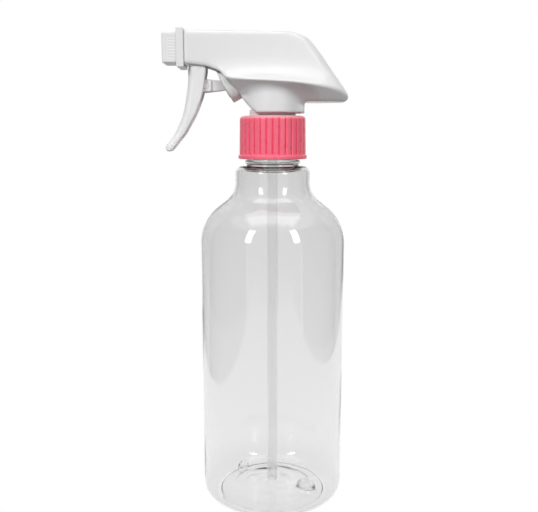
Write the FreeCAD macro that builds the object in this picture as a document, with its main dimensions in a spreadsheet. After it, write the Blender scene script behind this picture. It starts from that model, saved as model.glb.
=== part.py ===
import FreeCAD, Part
import math
import os
import Sketcher

# A trigger spray bottle: a clear blown bottle, a screw-on closure and a trigger pump head.
# Millimetres, +Z up. The origin is on the bottle's axis in the plane that it stands on.
# The nozzle points along -X.

SIZES = {
    # Blown bottle
    "bottle_radius": 35.0,
    "bottle_wall": 0.6,
    "push_up_height": 3.4,
    "stand_ring_inner_radius": 25.7,
    "heel_radius": 7.0,
    "shoulder_start": 129.0,
    "shoulder_radius": 22.7,
    "shoulder_turn": 52.5,
    "collar_radius": 18.0,
    "collar_blend_radius": 11.1,
    "collar_height": 4.3,
    "collar_edge_radius": 3.7,
    "finish_radius": 12.5,
    "finish_bore_radius": 10.9,
    "finish_length": 18.8,
    "bead_radius": 13.3,
    "bead_lift": 0.9,
    "bead_width": 1.6,
    # Screw thread between bottle and closure
    "thread_pitch": 4.2,
    "thread_turns": 1.5,
    "thread_start": 176.9,
    "thread_depth": 1.1,
    "thread_root_width": 2.0,
    "thread_crest_width": 0.9,
    "cap_thread_depth": 0.95,
    "thread_sink": 0.2,
    # Closure
    "cap_bottom": 170.0,
    "cap_flange_radius": 16.5,
    "cap_flange_height": 1.7,
    "cap_foot_radius": 15.9,
    "cap_head_radius": 15.65,
    "cap_top": 190.2,
    "cap_edge_radius": 1.8,
    "cap_bore_radius": 13.9,
    "cap_hole_radius": 11.05,
    "cap_roof": 1.65,
    "cap_groove_count": 32,
    "cap_groove_depth": 0.7,
    "cap_groove_width": 1.3,
    # Gasket
    "gasket_thickness": 1.4,
    "gasket_radius": 13.2,
    "gasket_hole_radius": 8.4,
    # Pump body
    "pump_flange_thickness": 1.6,
    "pump_neck_radius": 11.0,
    "pump_neck_top": 193.0,
    "spigot_radius": 8.2,
    "spigot_bottom": 180.0,
    "retainer_bore_radius": 6.0,
    "retainer_bore_depth": 6.0,
    "ball_chamber_radius": 2.6,
    "ball_stop": 188.4,
    "ball_stop_radius": 1.6,
    "riser_radius": 5.2,
    "riser_bore_radius": 2.6,
    "barrel_height": 221.0,
    "barrel_radius": 4.4,
    "barrel_reach": 47.0,
    "barrel_bore_radius": 1.7,
    "valve_bore_radius": 2.5,
    "valve_seat_reach": 37.0,
    "pump_tilt": 29.0,
    "pump_mouth_x": -22.6,
    "pump_mouth_z": 203.7,
    "pump_mouth_radius": 8.5,
    "pump_mouth_length": 4.7,
    "pump_recess_radius": 7.6,
    "pump_recess_depth": 1.2,
    "pump_outer_radius": 7.4,
    "pump_bore_radius": 6.2,
    "pump_bore_length": 17.0,
    "pump_end_wall": 1.5,
    "port_radius": 1.3,
    "port_boss_radius": 3.0,
    "throat_length": 1.5,
    "web_thickness": 1.6,
    "web_sink": 1.0,
    "upper_web_front": -19.0,
    "upper_web_back": -4.0,
    "upper_web_bottom": 210.0,
    "lower_web_front": -9.0,
    "lower_web_back": -3.0,
    "lower_web_top": 206.0,
    # Tube retainer, dip tube and intake ball
    "retainer_flange_thickness": 1.5,
    "socket_radius": 4.3,
    "socket_length": 6.0,
    "tube_radius": 2.45,
    "tube_bore_radius": 1.75,
    "tube_bottom": 4.8,
    "tube_insertion": 1.0,
    "seat_hole_radius": 1.4,
    "seat_start": 183.2,
    "ball_radius": 2.2,
    # Piston, rod and return spring
    "piston_front": -0.4,
    "piston_length": 7.9,
    "piston_radius": 5.6,
    "lip_radius": 6.17,
    "lip_width": 1.1,
    "front_lip_start": 1.6,
    "piston_pocket_radius": 4.4,
    "piston_pocket_floor": 3.5,
    "spring_pocket_radius": 4.8,
    "spring_pocket_floor": 4.5,
    "spring_radius": 4.2,
    "spring_wire": 0.8,
    "spring_turns": 6.0,
    "rod_pivot_x": -31.4,
    "rod_pivot_z": 204.0,
    "rod_end_reach": 1.03,
    "rod_end_radius": 2.1,
    "rod_hub_radius": 3.1,
    "rod_width": 4.8,
    "trunnion_radius": 1.5,
    "trunnion_span": 7.4,
    # Trigger
    "trigger_pivot_x": -36.0,
    "trigger_pivot_z": 218.0,
    "pivot_pin_radius": 1.6,
    "pivot_pin_span": 12.2,
    "ear_radius": 3.2,
    "ear_span": 12.4,
    "ear_gap": 9.3,
    "trigger_width": 11.5,
    "trigger_wall": 1.2,
    "trigger_front_high_bend": 84.0,
    "trigger_front_low_bend": 28.0,
    "trigger_back_bend": 49.5,
    "trigger_toe_bend": 1.8,
    "ear_bottom": 211.0,
    "lug_radius": 2.6,
    "lug_root": -39.2,
    "lug_span": 7.4,
    "lug_gap": 5.4,
    "rod_clearance": 0.6,
    "hinge_clearance": 0.05,
    # Shroud
    "shroud_wall": 1.3,
    "shroud_mouth": 1.0,
    "shroud_blank_width": 60.0,
    "section_bottom": 195.0,
    "section_waist": 213.5,
    "section_top": 231.0,
    "tail_bend": 2.2,
    "roof_bend": 11.0,
    "skirt_radius": 14.4,
    "skirt_length": 12.0,
    "barrel_port_length": 10.0,
    "barrel_port_radius": 5.0,
    # Nozzle
    "knob_back": -41.05,
    "knob_flange_front": -44.4,
    "knob_front": -51.3,
    "knob_flange_width": 17.6,
    "knob_flange_corner": 1.5,
    "knob_width": 14.0,
    "knob_corner": 1.2,
    "knob_socket_radius": 4.5,
    "knob_socket_depth": 6.95,
    "orifice_seat_radius": 3.0,
    "orifice_seat_depth": 2.6,
    "orifice_window_radius": 2.3,
    "orifice_radius": 0.4,
    "swirl_length": 3.8,
    "swirl_protrusion": 0.9,
    "swirl_slot_width": 0.7,
    "swirl_slot_depth": 0.6,
    "seal_groove_radius": 3.6,
    "seal_groove_width": 1.1,
    "seal_groove_reach": 45.0,
    "seal_wire_radius": 0.42,
    "seal_ring_radius": 4.03,
    "valve_head_radius": 2.25,
    "valve_head_thickness": 1.2,
    "valve_stem_radius": 0.9,
    "valve_stem_length": 3.0,
    "outlet_spring_radius": 1.7,
    "outlet_spring_wire": 0.4,
    "outlet_spring_turns": 5.0,
    "fit_clearance": 0.02,
    # How far a cutting tool runs past the face that it opens
    "overcut": 1.0,
}

# Shroud cross-sections from front to tail: place along X, then half-widths at the roof,
# the waist and the hip, the hip's height, and the half-width at the underside.
SHROUD_STATIONS = [
    (-42.0, 7.9, 8.0, 8.0, 209.5, 7.6),
    (-30.0, 7.9, 8.1, 8.6, 208.4, 7.6),
    (-20.0, 8.2, 8.9, 12.5, 207.4, 8.2),
    (-8.0, 8.6, 9.6, 16.6, 206.4, 9.0),
    (5.0, 8.4, 10.0, 18.0, 205.6, 9.6),
    (15.0, 7.8, 10.2, 17.6, 204.8, 10.0),
    (25.0, 6.2, 8.6, 14.8, 203.4, 9.5),
    (33.0, 4.2, 6.0, 9.8, 201.2, 6.4),
    (37.0, 3.0, 4.0, 6.0, 199.8, 3.6),
]
SHROUD_MEASURES = ("place", "roof", "waist", "hip", "hip_height", "floor")

# Corners of the shroud's side outline, as places along X and heights, from the front of its
# open lower edge back to the tail and forward again over the roof.
SHROUD_CORNERS = {
    "lip": (-40.8, 213.5),
    "arch_front": (-30.7, 212.2),
    "arch_back": (-24.7, 210.0),
    "brow": (-18.0, 201.7),
    "skirt_front": (-7.8, 191.4),
    "skirt_back": (15.2, 191.4),
    "tail_root": (15.2, 196.5),
    "tail_floor": (33.8, 196.5),
    "tail_tip": (35.5, 199.0),
    "back_low": (22.2, 218.8),
    "back_high": (19.4, 222.4),
    "roof_back": (10.0, 228.2),
    "roof_front": (-40.8, 229.2),
}

# Corners of the trigger's side outline, from the top of its front down to the toe and back
# up, and then those of the channel that opens at its back.
TRIGGER_CORNERS = {
    "front_top": (-39.7, 211.2),
    "front_high": (-39.5, 206.3),
    "front_middle": (-42.9, 189.0),
    "front_low": (-48.2, 179.6),
    "toe_front": (-51.1, 175.9),
    "toe_back": (-48.6, 173.9),
    "back_toe": (-47.0, 174.9),
    "back_low": (-41.2, 182.8),
    "back_high": (-33.0, 199.3),
    "back_top": (-31.0, 211.2),
    "head_back": (-31.2, 214.2),
    "head_front": (-38.9, 214.6),
    "channel_toe": (-49.4, 178.1),
    "channel_heel": (-44.0, 176.0),
    "channel_back": (-28.0, 195.0),
    "channel_top": (-28.0, 216.0),
}

doc = FreeCAD.newDocument("spray_bottle")
sheet = doc.addObject("Spreadsheet::Sheet", "Sizes")


class Size:
    """A number together with the sheet expression that gives it."""

    def __init__(self, value, text):
        self.value = value
        self.text = text

    def __add__(self, other):
        other = as_size(other)
        return Size(self.value + other.value, f"({self.text} + {other.text})")

    def __sub__(self, other):
        other = as_size(other)
        return Size(self.value - other.value, f"({self.text} - {other.text})")

    def __mul__(self, other):
        other = as_size(other)
        return Size(self.value * other.value, f"({self.text} * {other.text})")

    def __truediv__(self, other):
        other = as_size(other)
        return Size(self.value / other.value, f"({self.text} / {other.text})")

    def __neg__(self):
        return Size(-self.value, f"(0 - {self.text})")


def as_size(number):
    """A plain number stays as it is written; a Size passes through."""
    if isinstance(number, Size):
        return number
    return Size(float(number), f"({float(number):g})")


def cosine(angle):
    return Size(math.cos(math.radians(angle.value)), f"cos({angle.text} * 1deg)")


def sine(angle):
    return Size(math.sin(math.radians(angle.value)), f"sin({angle.text} * 1deg)")


def fill_sheet():
    """Writes every driving dimension into the sheet, one alias to a row."""
    rows = dict(SIZES)
    for number, station in enumerate(SHROUD_STATIONS, start=1):
        for measure, value in zip(SHROUD_MEASURES, station):
            rows[f"shroud_{measure}_{number}"] = value
    for outline, corners in (("shroud", SHROUD_CORNERS), ("trigger", TRIGGER_CORNERS)):
        for name, (x, z) in corners.items():
            rows[f"{outline}_{name}_x"] = x
            rows[f"{outline}_{name}_z"] = z
    for row, (alias, value) in enumerate(rows.items(), start=1):
        sheet.set(f"A{row}", str(value))
        sheet.setAlias(f"A{row}", alias)
    doc.recompute()
    return {alias: Size(value, f"Sizes.{alias}") for alias, value in rows.items()}


def corner(name):
    """A named corner of an outline, with both its places tied to the sheet."""
    return d[f"{name}_x"], d[f"{name}_z"]


def bind(item, prop, size):
    """Ties one property of an object to the sheet."""
    item.setExpression(prop, as_size(size).text)


def place(item, x=0, y=0, z=0, axis=(0, 0, 1), angle=0):
    """Puts an object at a point, turned about an axis, with both tied to the sheet."""
    angle = as_size(angle)
    point = FreeCAD.Vector(as_size(x).value, as_size(y).value, as_size(z).value)
    item.Placement = FreeCAD.Placement(point, FreeCAD.Rotation(FreeCAD.Vector(*axis), angle.value))
    for name, size in (("x", x), ("y", y), ("z", z)):
        bind(item, f"Placement.Base.{name}", size)
    if angle.value:
        bind(item, "Placement.Rotation.Angle", angle)


def place_on_pump_axis(item):
    """The piston's own Z runs up the tilted pump bore from the centre of its mouth."""
    place(item, d["pump_mouth_x"], 0, d["pump_mouth_z"], (0, 1, 0), as_size(90) - d["pump_tilt"])


def place_on_barrel_axis(item):
    """The outlet's own Z runs forward along the discharge barrel from the bottle's axis."""
    place(item, 0, 0, d["barrel_height"], (0, 1, 0), -90)


def origin_plane(body, role):
    return next(plane for plane in body.Origin.OriginFeatures if plane.Role == role)


def new_body(label):
    body = doc.addObject("PartDesign::Body", label)
    body.Label = label
    return body


def draw_circle(sketch, x, y, radius):
    """Draws a circle, with its centre and radius tied to the sheet."""
    centre = FreeCAD.Vector(as_size(x).value, as_size(y).value, 0)
    circle = Part.Circle(centre, FreeCAD.Vector(0, 0, 1), as_size(radius).value)
    sketch.addGeometry(circle, False)
    for kind, size in (("DistanceX", x), ("DistanceY", y)):
        value = as_size(size).value
        number = sketch.addConstraint(Sketcher.Constraint(kind, -1, 1, 0, 3, value))
        bind(sketch, f"Constraints[{number}]", size)
    number = sketch.addConstraint(Sketcher.Constraint("Radius", 0, as_size(radius).value))
    bind(sketch, f"Constraints[{number}]", radius)


def draw(sketch, points):
    """Draws a closed outline. A point is (x, y), or (x, y, bend) where the edge that leaves it
    is an arc of that radius, with its centre to the left of the way round when bend is
    positive. A single point is a circle's centre and radius."""
    if len(points) == 1:
        draw_circle(sketch, *points[0])
        return
    corners = [(as_size(p[0]), as_size(p[1])) for p in points]
    bends = [as_size(p[2]) if len(p) > 2 else None for p in points]
    starts = []
    for index, bend in enumerate(bends):
        here = FreeCAD.Vector(corners[index][0].value, corners[index][1].value, 0)
        after = corners[(index + 1) % len(corners)]
        there = FreeCAD.Vector(after[0].value, after[1].value, 0)
        if bend is None:
            sketch.addGeometry(Part.LineSegment(here, there), False)
            starts.append(1)
            continue
        radius = abs(bend.value)
        side = 1.0 if bend.value > 0 else -1.0
        chord = there - here
        left = FreeCAD.Vector(-chord.y, chord.x, 0).normalize()
        height = math.sqrt(max(radius ** 2 - (chord.Length / 2) ** 2, 0))
        centre = (here + there) * 0.5 + left * height * side
        first, last = (here, there) if side > 0 else (there, here)
        angles = [math.atan2(p.y - centre.y, p.x - centre.x) for p in (first, last)]
        circle = Part.Circle(centre, FreeCAD.Vector(0, 0, 1), radius)
        sketch.addGeometry(Part.ArcOfCircle(circle, angles[0], angles[1]), False)
        starts.append(1 if side > 0 else 2)
    count = len(corners)
    for index in range(count):
        after = (index + 1) % count
        end = 3 - starts[index]
        sketch.addConstraint(Sketcher.Constraint("Coincident", index, end, after, starts[after]))
    for index, corner in enumerate(corners):
        for kind, size in zip(("DistanceX", "DistanceY"), corner):
            number = sketch.addConstraint(
                Sketcher.Constraint(kind, -1, 1, index, starts[index], size.value))
            if "Sizes." in size.text:
                bind(sketch, f"Constraints[{number}]", size)
        bend = bends[index]
        if bend is not None:
            number = sketch.addConstraint(Sketcher.Constraint("Radius", index, abs(bend.value)))
            if "Sizes." in bend.text:
                bind(sketch, f"Constraints[{number}]", bend if bend.value > 0 else -bend)


def body_sketch(body, points, role="XZ_Plane"):
    sketch = body.newObject("Sketcher::SketchObject", f"{body.Name}_sketch")
    sketch.AttachmentSupport = (origin_plane(body, role), [""])
    sketch.MapMode = "FlatFace"
    draw(sketch, points)
    return sketch


def add_turned(body, points, kind="PartDesign::Revolution"):
    """Revolves an outline, drawn in the XZ plane, about the body's own Z axis."""
    sketch = body_sketch(body, points)
    feature = body.newObject(kind, f"{body.Name}_turned")
    feature.Profile = sketch
    feature.ReferenceAxis = (sketch, ["V_Axis"])
    feature.Angle = 360
    return feature


def add_slab(body, points, width, kind="PartDesign::Pad"):
    """Adds or cuts an outline in the XZ plane, as wide in Y as stated and centred on it."""
    feature = body.newObject(kind, f"{body.Name}_slab")
    feature.Profile = body_sketch(body, points)
    feature.Midplane = True
    bind(feature, "Length", width)
    return feature


def add_helix(body, points, pitch, height):
    """Winds a section, drawn in the XZ plane, about the body's own Z axis."""
    sketch = body_sketch(body, points)
    feature = body.newObject("PartDesign::AdditiveHelix", f"{body.Name}_helix")
    feature.Profile = sketch
    feature.ReferenceAxis = (sketch, ["V_Axis"])
    feature.Mode = "pitch-height-angle"
    bind(feature, "Pitch", pitch)
    bind(feature, "Height", height)
    return feature


def turned_piece(label, points):
    body = new_body(label)
    add_turned(body, points)
    return body


def cylinder(name, radius, length, put=None):
    item = doc.addObject("Part::Cylinder", name)
    bind(item, "Radius", radius)
    bind(item, "Height", length)
    if put:
        put(item)
    return item


def box(name, x0, x1, width, z0, z1):
    """A block between two places along X and two heights, centred on the XZ plane."""
    item = doc.addObject("Part::Box", name)
    bind(item, "Length", as_size(x1) - x0)
    bind(item, "Width", width)
    bind(item, "Height", as_size(z1) - z0)
    place(item, x0, -as_size(width) / 2, z0)
    return item


def fused(name, items):
    item = doc.addObject("Part::MultiFuse", name)
    item.Shapes = items
    return item


def common(name, items):
    item = doc.addObject("Part::MultiCommon", name)
    item.Shapes = items
    return item


def cut(name, base, tool):
    item = doc.addObject("Part::Cut", name)
    item.Base = base
    item.Tool = tool
    return item


def wall_outline(inset):
    """The bottle's outline from the base's centre to the collar's top, moved in by a distance."""
    radius = d["bottle_radius"] - inset
    heel = d["heel_radius"] - inset
    ring = d["bottle_radius"] - d["heel_radius"]
    dome = d["push_up_height"]
    dome_radius = (d["stand_ring_inner_radius"] * d["stand_ring_inner_radius"] + dome * dome) / (dome * 2)
    turn = d["shoulder_turn"]
    shoulder = d["shoulder_radius"] - inset
    blend = d["collar_blend_radius"] + inset
    shoulder_centre = d["bottle_radius"] - d["shoulder_radius"]
    blend_centre = d["collar_radius"] + d["collar_blend_radius"]
    edge = d["collar_edge_radius"] - inset
    collar_side = d["collar_radius"] - inset
    return [
        (0, dome + inset, -dome_radius),
        (d["stand_ring_inner_radius"], inset),
        (ring, inset, heel),
        (radius, d["heel_radius"]),
        (radius, d["shoulder_start"], shoulder),
        (shoulder_centre + shoulder * cosine(turn), d["shoulder_start"] + shoulder * sine(turn)),
        (blend_centre - blend * cosine(turn), collar_start - blend * sine(turn), -blend),
        (collar_side, collar_start),
        (collar_side, collar_start + d["collar_height"], edge),
        (d["collar_radius"] - d["collar_edge_radius"], step_top - inset),
    ]


def reversed_outline(points):
    """The same outline run the other way round."""
    result = []
    for index in range(len(points) - 1, -1, -1):
        corner = points[index][:2]
        before = points[index - 1] if index else ()
        result.append(corner + (-as_size(before[2]),) if len(before) > 2 else corner)
    return result


def ridge(wall, depth, middle, outward):
    """A thread's section: a trapezium that stands on a wall, sunk a little into it."""
    sink = d["thread_sink"] * outward
    root = d["thread_root_width"] / 2
    crest = d["thread_crest_width"] / 2
    tip = wall + depth * outward
    points = [(wall - sink, middle - root), (tip, middle - crest), (tip, middle + crest),
              (wall - sink, middle + root)]
    return points


def make_bottle():
    """Bottle: one wall all round, a shallow push-up in the base and a threaded neck."""
    neck = [
        (d["finish_radius"], step_top),
        (d["finish_radius"], step_top + d["bead_lift"]),
        (d["bead_radius"], step_top + d["bead_lift"]),
        (d["bead_radius"], step_top + d["bead_lift"] + d["bead_width"]),
        (d["finish_radius"], step_top + d["bead_lift"] + d["bead_width"]),
        (d["finish_radius"], rim),
        (d["finish_bore_radius"], rim),
        (d["finish_bore_radius"], step_top - d["bottle_wall"]),
    ]
    outer = wall_outline(as_size(0))
    inner = reversed_outline(wall_outline(d["bottle_wall"]))
    body = turned_piece("bottle", outer + neck + inner)
    add_helix(body, ridge(d["finish_radius"], d["thread_depth"], d["thread_start"], 1),
              d["thread_pitch"], d["thread_pitch"] * d["thread_turns"])
    return body


def make_closure_cap():
    """Closure: a ribbed cap that holds the pump's flange down on the bottle's rim."""
    roof_under = d["cap_top"] - d["cap_roof"]
    flange_top = d["cap_bottom"] + d["cap_flange_height"]
    body = turned_piece("closure_cap", [
        (d["cap_bore_radius"], d["cap_bottom"]),
        (d["cap_flange_radius"], d["cap_bottom"]),
        (d["cap_flange_radius"], flange_top),
        (d["cap_foot_radius"], flange_top),
        (d["cap_head_radius"], d["cap_top"] - d["cap_edge_radius"], d["cap_edge_radius"]),
        (d["cap_head_radius"] - d["cap_edge_radius"], d["cap_top"]),
        (d["cap_hole_radius"], d["cap_top"]),
        (d["cap_hole_radius"], roof_under),
        (d["cap_bore_radius"], roof_under),
    ])
    middle = d["thread_start"] - d["thread_pitch"] / 2
    add_helix(body, ridge(d["cap_bore_radius"], d["cap_thread_depth"], middle, -1),
              d["thread_pitch"], d["thread_pitch"] * d["thread_turns"])
    # One V groove from the flange up, then the same all round.
    half = d["cap_groove_width"] / 2
    outside = d["cap_foot_radius"] + d["overcut"]
    sketch = body_sketch(body, [
        (d["cap_head_radius"] - d["cap_groove_depth"], 0),
        (d["cap_foot_radius"], -half),
        (outside, -half),
        (outside, half),
        (d["cap_foot_radius"], half),
    ], "XY_Plane")
    bind(sketch, "AttachmentOffset.Base.z", flange_top)
    groove = body.newObject("PartDesign::Pocket", "closure_cap_groove")
    groove.Profile = sketch
    groove.Reversed = True
    bind(groove, "Length", d["cap_top"] - flange_top)
    pattern = body.newObject("PartDesign::PolarPattern", "closure_cap_grooves")
    pattern.Originals = [groove]
    pattern.Axis = (sketch, ["N_Axis"])
    pattern.Angle = 360
    bind(pattern, "Occurrences", d["cap_groove_count"])
    body.Tip = pattern
    return body


def make_closure_gasket():
    """Gasket: a flat ring between the bottle's rim and the pump's flange."""
    return turned_piece("closure_gasket", [
        (d["gasket_hole_radius"], rim),
        (d["gasket_radius"], rim),
        (d["gasket_radius"], rim + d["gasket_thickness"]),
        (d["gasket_hole_radius"], rim + d["gasket_thickness"]),
    ])


def make_pump_body():
    """Pump body: flange and neck, riser, discharge barrel and tilted pump cylinder in one."""
    flange_bottom = rim + d["gasket_thickness"]
    flange_top = flange_bottom + d["pump_flange_thickness"]
    riser_top = d["barrel_height"] + d["riser_radius"]
    retainer_top = d["spigot_bottom"] + d["retainer_bore_depth"]
    throat_top = flange_top + d["throat_length"]
    stem = turned_piece("pump_stem", [
        (0, d["spigot_bottom"]),
        (d["spigot_radius"], d["spigot_bottom"]),
        (d["spigot_radius"], flange_bottom),
        (d["gasket_radius"], flange_bottom),
        (d["gasket_radius"], flange_top),
        (d["pump_neck_radius"], flange_top),
        (d["pump_neck_radius"], d["pump_neck_top"]),
        (d["riser_radius"], d["pump_neck_top"]),
        (d["riser_radius"], riser_top),
        (0, riser_top),
    ])
    stem_bore = turned_piece("pump_stem_bore", [
        (0, d["spigot_bottom"] - d["overcut"]),
        (d["retainer_bore_radius"], d["spigot_bottom"] - d["overcut"]),
        (d["retainer_bore_radius"], retainer_top),
        (d["ball_chamber_radius"], retainer_top),
        (d["ball_chamber_radius"], d["ball_stop"]),
        (d["ball_stop_radius"], d["ball_stop"]),
        (d["ball_stop_radius"], throat_top),
        (d["riser_bore_radius"], throat_top),
        (d["riser_bore_radius"], d["barrel_height"]),
        (0, d["barrel_height"]),
    ])
    seal_back = d["seal_groove_reach"]
    seal_front = seal_back + d["seal_groove_width"]
    barrel = turned_piece("pump_barrel", [
        (0, 0),
        (d["barrel_radius"], 0),
        (d["barrel_radius"], seal_back),
        (d["seal_groove_radius"], seal_back),
        (d["seal_groove_radius"], seal_front),
        (d["barrel_radius"], seal_front),
        (d["barrel_radius"], d["barrel_reach"]),
        (0, d["barrel_reach"]),
    ])
    barrel_bore = turned_piece("pump_barrel_bore", [
        (0, 0),
        (d["barrel_bore_radius"], 0),
        (d["barrel_bore_radius"], d["valve_seat_reach"]),
        (d["valve_bore_radius"], d["valve_seat_reach"]),
        (d["valve_bore_radius"], d["barrel_reach"] + d["overcut"]),
        (0, d["barrel_reach"] + d["overcut"]),
    ])
    for item in (barrel, barrel_bore):
        place_on_barrel_axis(item)
    end = d["pump_bore_length"] + d["pump_end_wall"]
    to_riser = -d["pump_mouth_x"] / cosine(d["pump_tilt"])
    chamber = turned_piece("pump_chamber", [
        (0, 0),
        (d["pump_mouth_radius"], 0),
        (d["pump_mouth_radius"], d["pump_mouth_length"]),
        (d["pump_outer_radius"], d["pump_mouth_length"]),
        (d["pump_outer_radius"], end),
        (d["port_boss_radius"], end),
        (d["port_boss_radius"], to_riser),
        (0, to_riser),
    ])
    chamber_bore = turned_piece("pump_chamber_bore", [
        (0, -d["overcut"]),
        (d["pump_recess_radius"], -d["overcut"]),
        (d["pump_recess_radius"], d["pump_recess_depth"]),
        (d["pump_bore_radius"], d["pump_recess_depth"]),
        (d["pump_bore_radius"], d["pump_bore_length"]),
        (d["port_radius"], d["pump_bore_length"]),
        (d["port_radius"], to_riser),
        (0, to_riser),
    ])
    for item in (chamber, chamber_bore):
        place_on_pump_axis(item)
    upper_web = box("pump_upper_web", d["upper_web_front"], d["upper_web_back"], d["web_thickness"],
                    d["upper_web_bottom"], d["barrel_height"] - d["barrel_radius"] + d["web_sink"])
    lower_web = box("pump_lower_web", d["lower_web_front"], d["lower_web_back"], d["web_thickness"],
                    d["pump_neck_top"] - d["web_sink"], d["lower_web_top"])
    pins = cylinder("pump_pins", d["pivot_pin_radius"], d["pivot_pin_span"])
    place(pins, d["trigger_pivot_x"], d["pivot_pin_span"] / 2, d["trigger_pivot_z"], (1, 0, 0), 90)
    solid = fused("pump_solid", [stem, barrel, chamber, upper_web, lower_web, pins])
    bores = fused("pump_bores", [stem_bore, barrel_bore, chamber_bore])
    return cut("pump_body", solid, bores)


def make_tube_retainer():
    """Tube retainer: plugs the pump's foot, seats the intake ball and holds the dip tube."""
    foot = d["spigot_bottom"] - d["retainer_flange_thickness"]
    plug_radius = d["retainer_bore_radius"] - d["fit_clearance"]
    plug_top = d["spigot_bottom"] + d["retainer_bore_depth"]
    bore = d["tube_radius"] + d["fit_clearance"] / 2
    tube_top = foot + d["tube_insertion"]
    cone = d["ball_chamber_radius"] - d["seat_hole_radius"]
    return turned_piece("tube_retainer", [
        (bore, foot - d["socket_length"]),
        (d["socket_radius"], foot - d["socket_length"]),
        (d["socket_radius"], foot),
        (d["spigot_radius"], foot),
        (d["spigot_radius"], d["spigot_bottom"]),
        (plug_radius, d["spigot_bottom"]),
        (plug_radius, plug_top),
        (d["ball_chamber_radius"], plug_top),
        (d["ball_chamber_radius"], d["seat_start"] + cone),
        (d["seat_hole_radius"], d["seat_start"]),
        (d["seat_hole_radius"], tube_top),
        (bore, tube_top),
    ])


def make_dip_tube():
    """Dip tube: straight down the axis to just above the push-up."""
    top = d["spigot_bottom"] - d["retainer_flange_thickness"] + d["tube_insertion"]
    return turned_piece("dip_tube", [
        (d["tube_bore_radius"], d["tube_bottom"]),
        (d["tube_radius"], d["tube_bottom"]),
        (d["tube_radius"], top),
        (d["tube_bore_radius"], top),
    ])


def make_intake_ball():
    """Intake ball: rests on the 45 degree seat in the retainer."""
    ball = doc.addObject("Part::Sphere", "intake_ball")
    bind(ball, "Radius", d["ball_radius"])
    reach = d["ball_radius"] * cosine(as_size(45))
    place(ball, 0, 0, d["seat_start"] - d["seat_hole_radius"] + reach * 2 + d["fit_clearance"])
    return ball


def make_piston():
    """Piston: two sealing lips, a pocket for the rod's end and one for the spring."""
    front = d["piston_front"]
    back = front + d["piston_length"]
    lip_back = d["front_lip_start"] + d["lip_width"]
    body = turned_piece("piston", [
        (0, d["piston_pocket_floor"]),
        (d["piston_pocket_radius"], d["piston_pocket_floor"]),
        (d["piston_pocket_radius"], front),
        (d["piston_radius"], front),
        (d["piston_radius"], d["front_lip_start"]),
        (d["lip_radius"], d["front_lip_start"]),
        (d["piston_radius"], lip_back),
        (d["piston_radius"], back - d["lip_width"]),
        (d["lip_radius"], back),
        (d["spring_pocket_radius"], back),
        (d["spring_pocket_radius"], d["spring_pocket_floor"]),
        (0, d["spring_pocket_floor"]),
    ])
    place_on_pump_axis(body)
    return body


def make_spring(label, radius, wire, start, end, turns, put):
    """A compression spring between two flat faces on its own Z axis."""
    body = new_body(label)
    bottom = start + wire / 2
    height = end - start - wire
    add_helix(body, [(radius, bottom, wire / 2)], height / turns, height)
    put(body)
    return body


def make_return_spring():
    gap = d["fit_clearance"]
    return make_spring("return_spring", d["spring_radius"], d["spring_wire"],
                       d["spring_pocket_floor"] + gap, d["pump_bore_length"] - gap,
                       d["spring_turns"], place_on_pump_axis)


def make_outlet_spring():
    gap = d["fit_clearance"]
    back = d["valve_seat_reach"] + d["valve_head_thickness"] + gap * 2
    front = d["barrel_reach"] + d["swirl_protrusion"] - d["swirl_length"] - gap
    return make_spring("outlet_spring", d["outlet_spring_radius"], d["outlet_spring_wire"],
                       back, front, d["outlet_spring_turns"], place_on_barrel_axis)


def make_piston_rod():
    """Piston rod: hub and trunnions in the trigger, rounded end in the piston's pocket."""
    tilt = d["pump_tilt"]
    end_x = d["pump_mouth_x"] + d["rod_end_reach"] * cosine(tilt)
    end_z = d["pump_mouth_z"] + d["rod_end_reach"] * sine(tilt)
    hub_x = d["rod_pivot_x"]
    hub_z = d["rod_pivot_z"]
    body = new_body("piston_rod")
    add_slab(body, [(hub_x, hub_z, d["rod_hub_radius"])], d["rod_width"])
    add_slab(body, [(end_x, end_z, d["rod_end_radius"])], d["rod_width"])
    add_slab(body, [
        (hub_x, hub_z - d["rod_hub_radius"]),
        (end_x, end_z - d["rod_end_radius"]),
        (end_x, end_z + d["rod_end_radius"]),
        (hub_x, hub_z + d["rod_hub_radius"]),
    ], d["rod_width"])
    add_slab(body, [(hub_x, hub_z, d["trunnion_radius"])], d["trunnion_span"])
    return body


def trigger_front(inset):
    """The trigger's front edge from top to toe, moved back by a distance."""
    bends = {"front_high": -d["trigger_front_high_bend"], "front_middle": -d["trigger_front_low_bend"]}
    points = []
    for name in ("front_top", "front_high", "front_middle", "front_low"):
        x, z = corner(f"trigger_{name}")
        points.append((x + inset, z, bends[name]) if name in bends else (x + inset, z))
    return points


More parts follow.
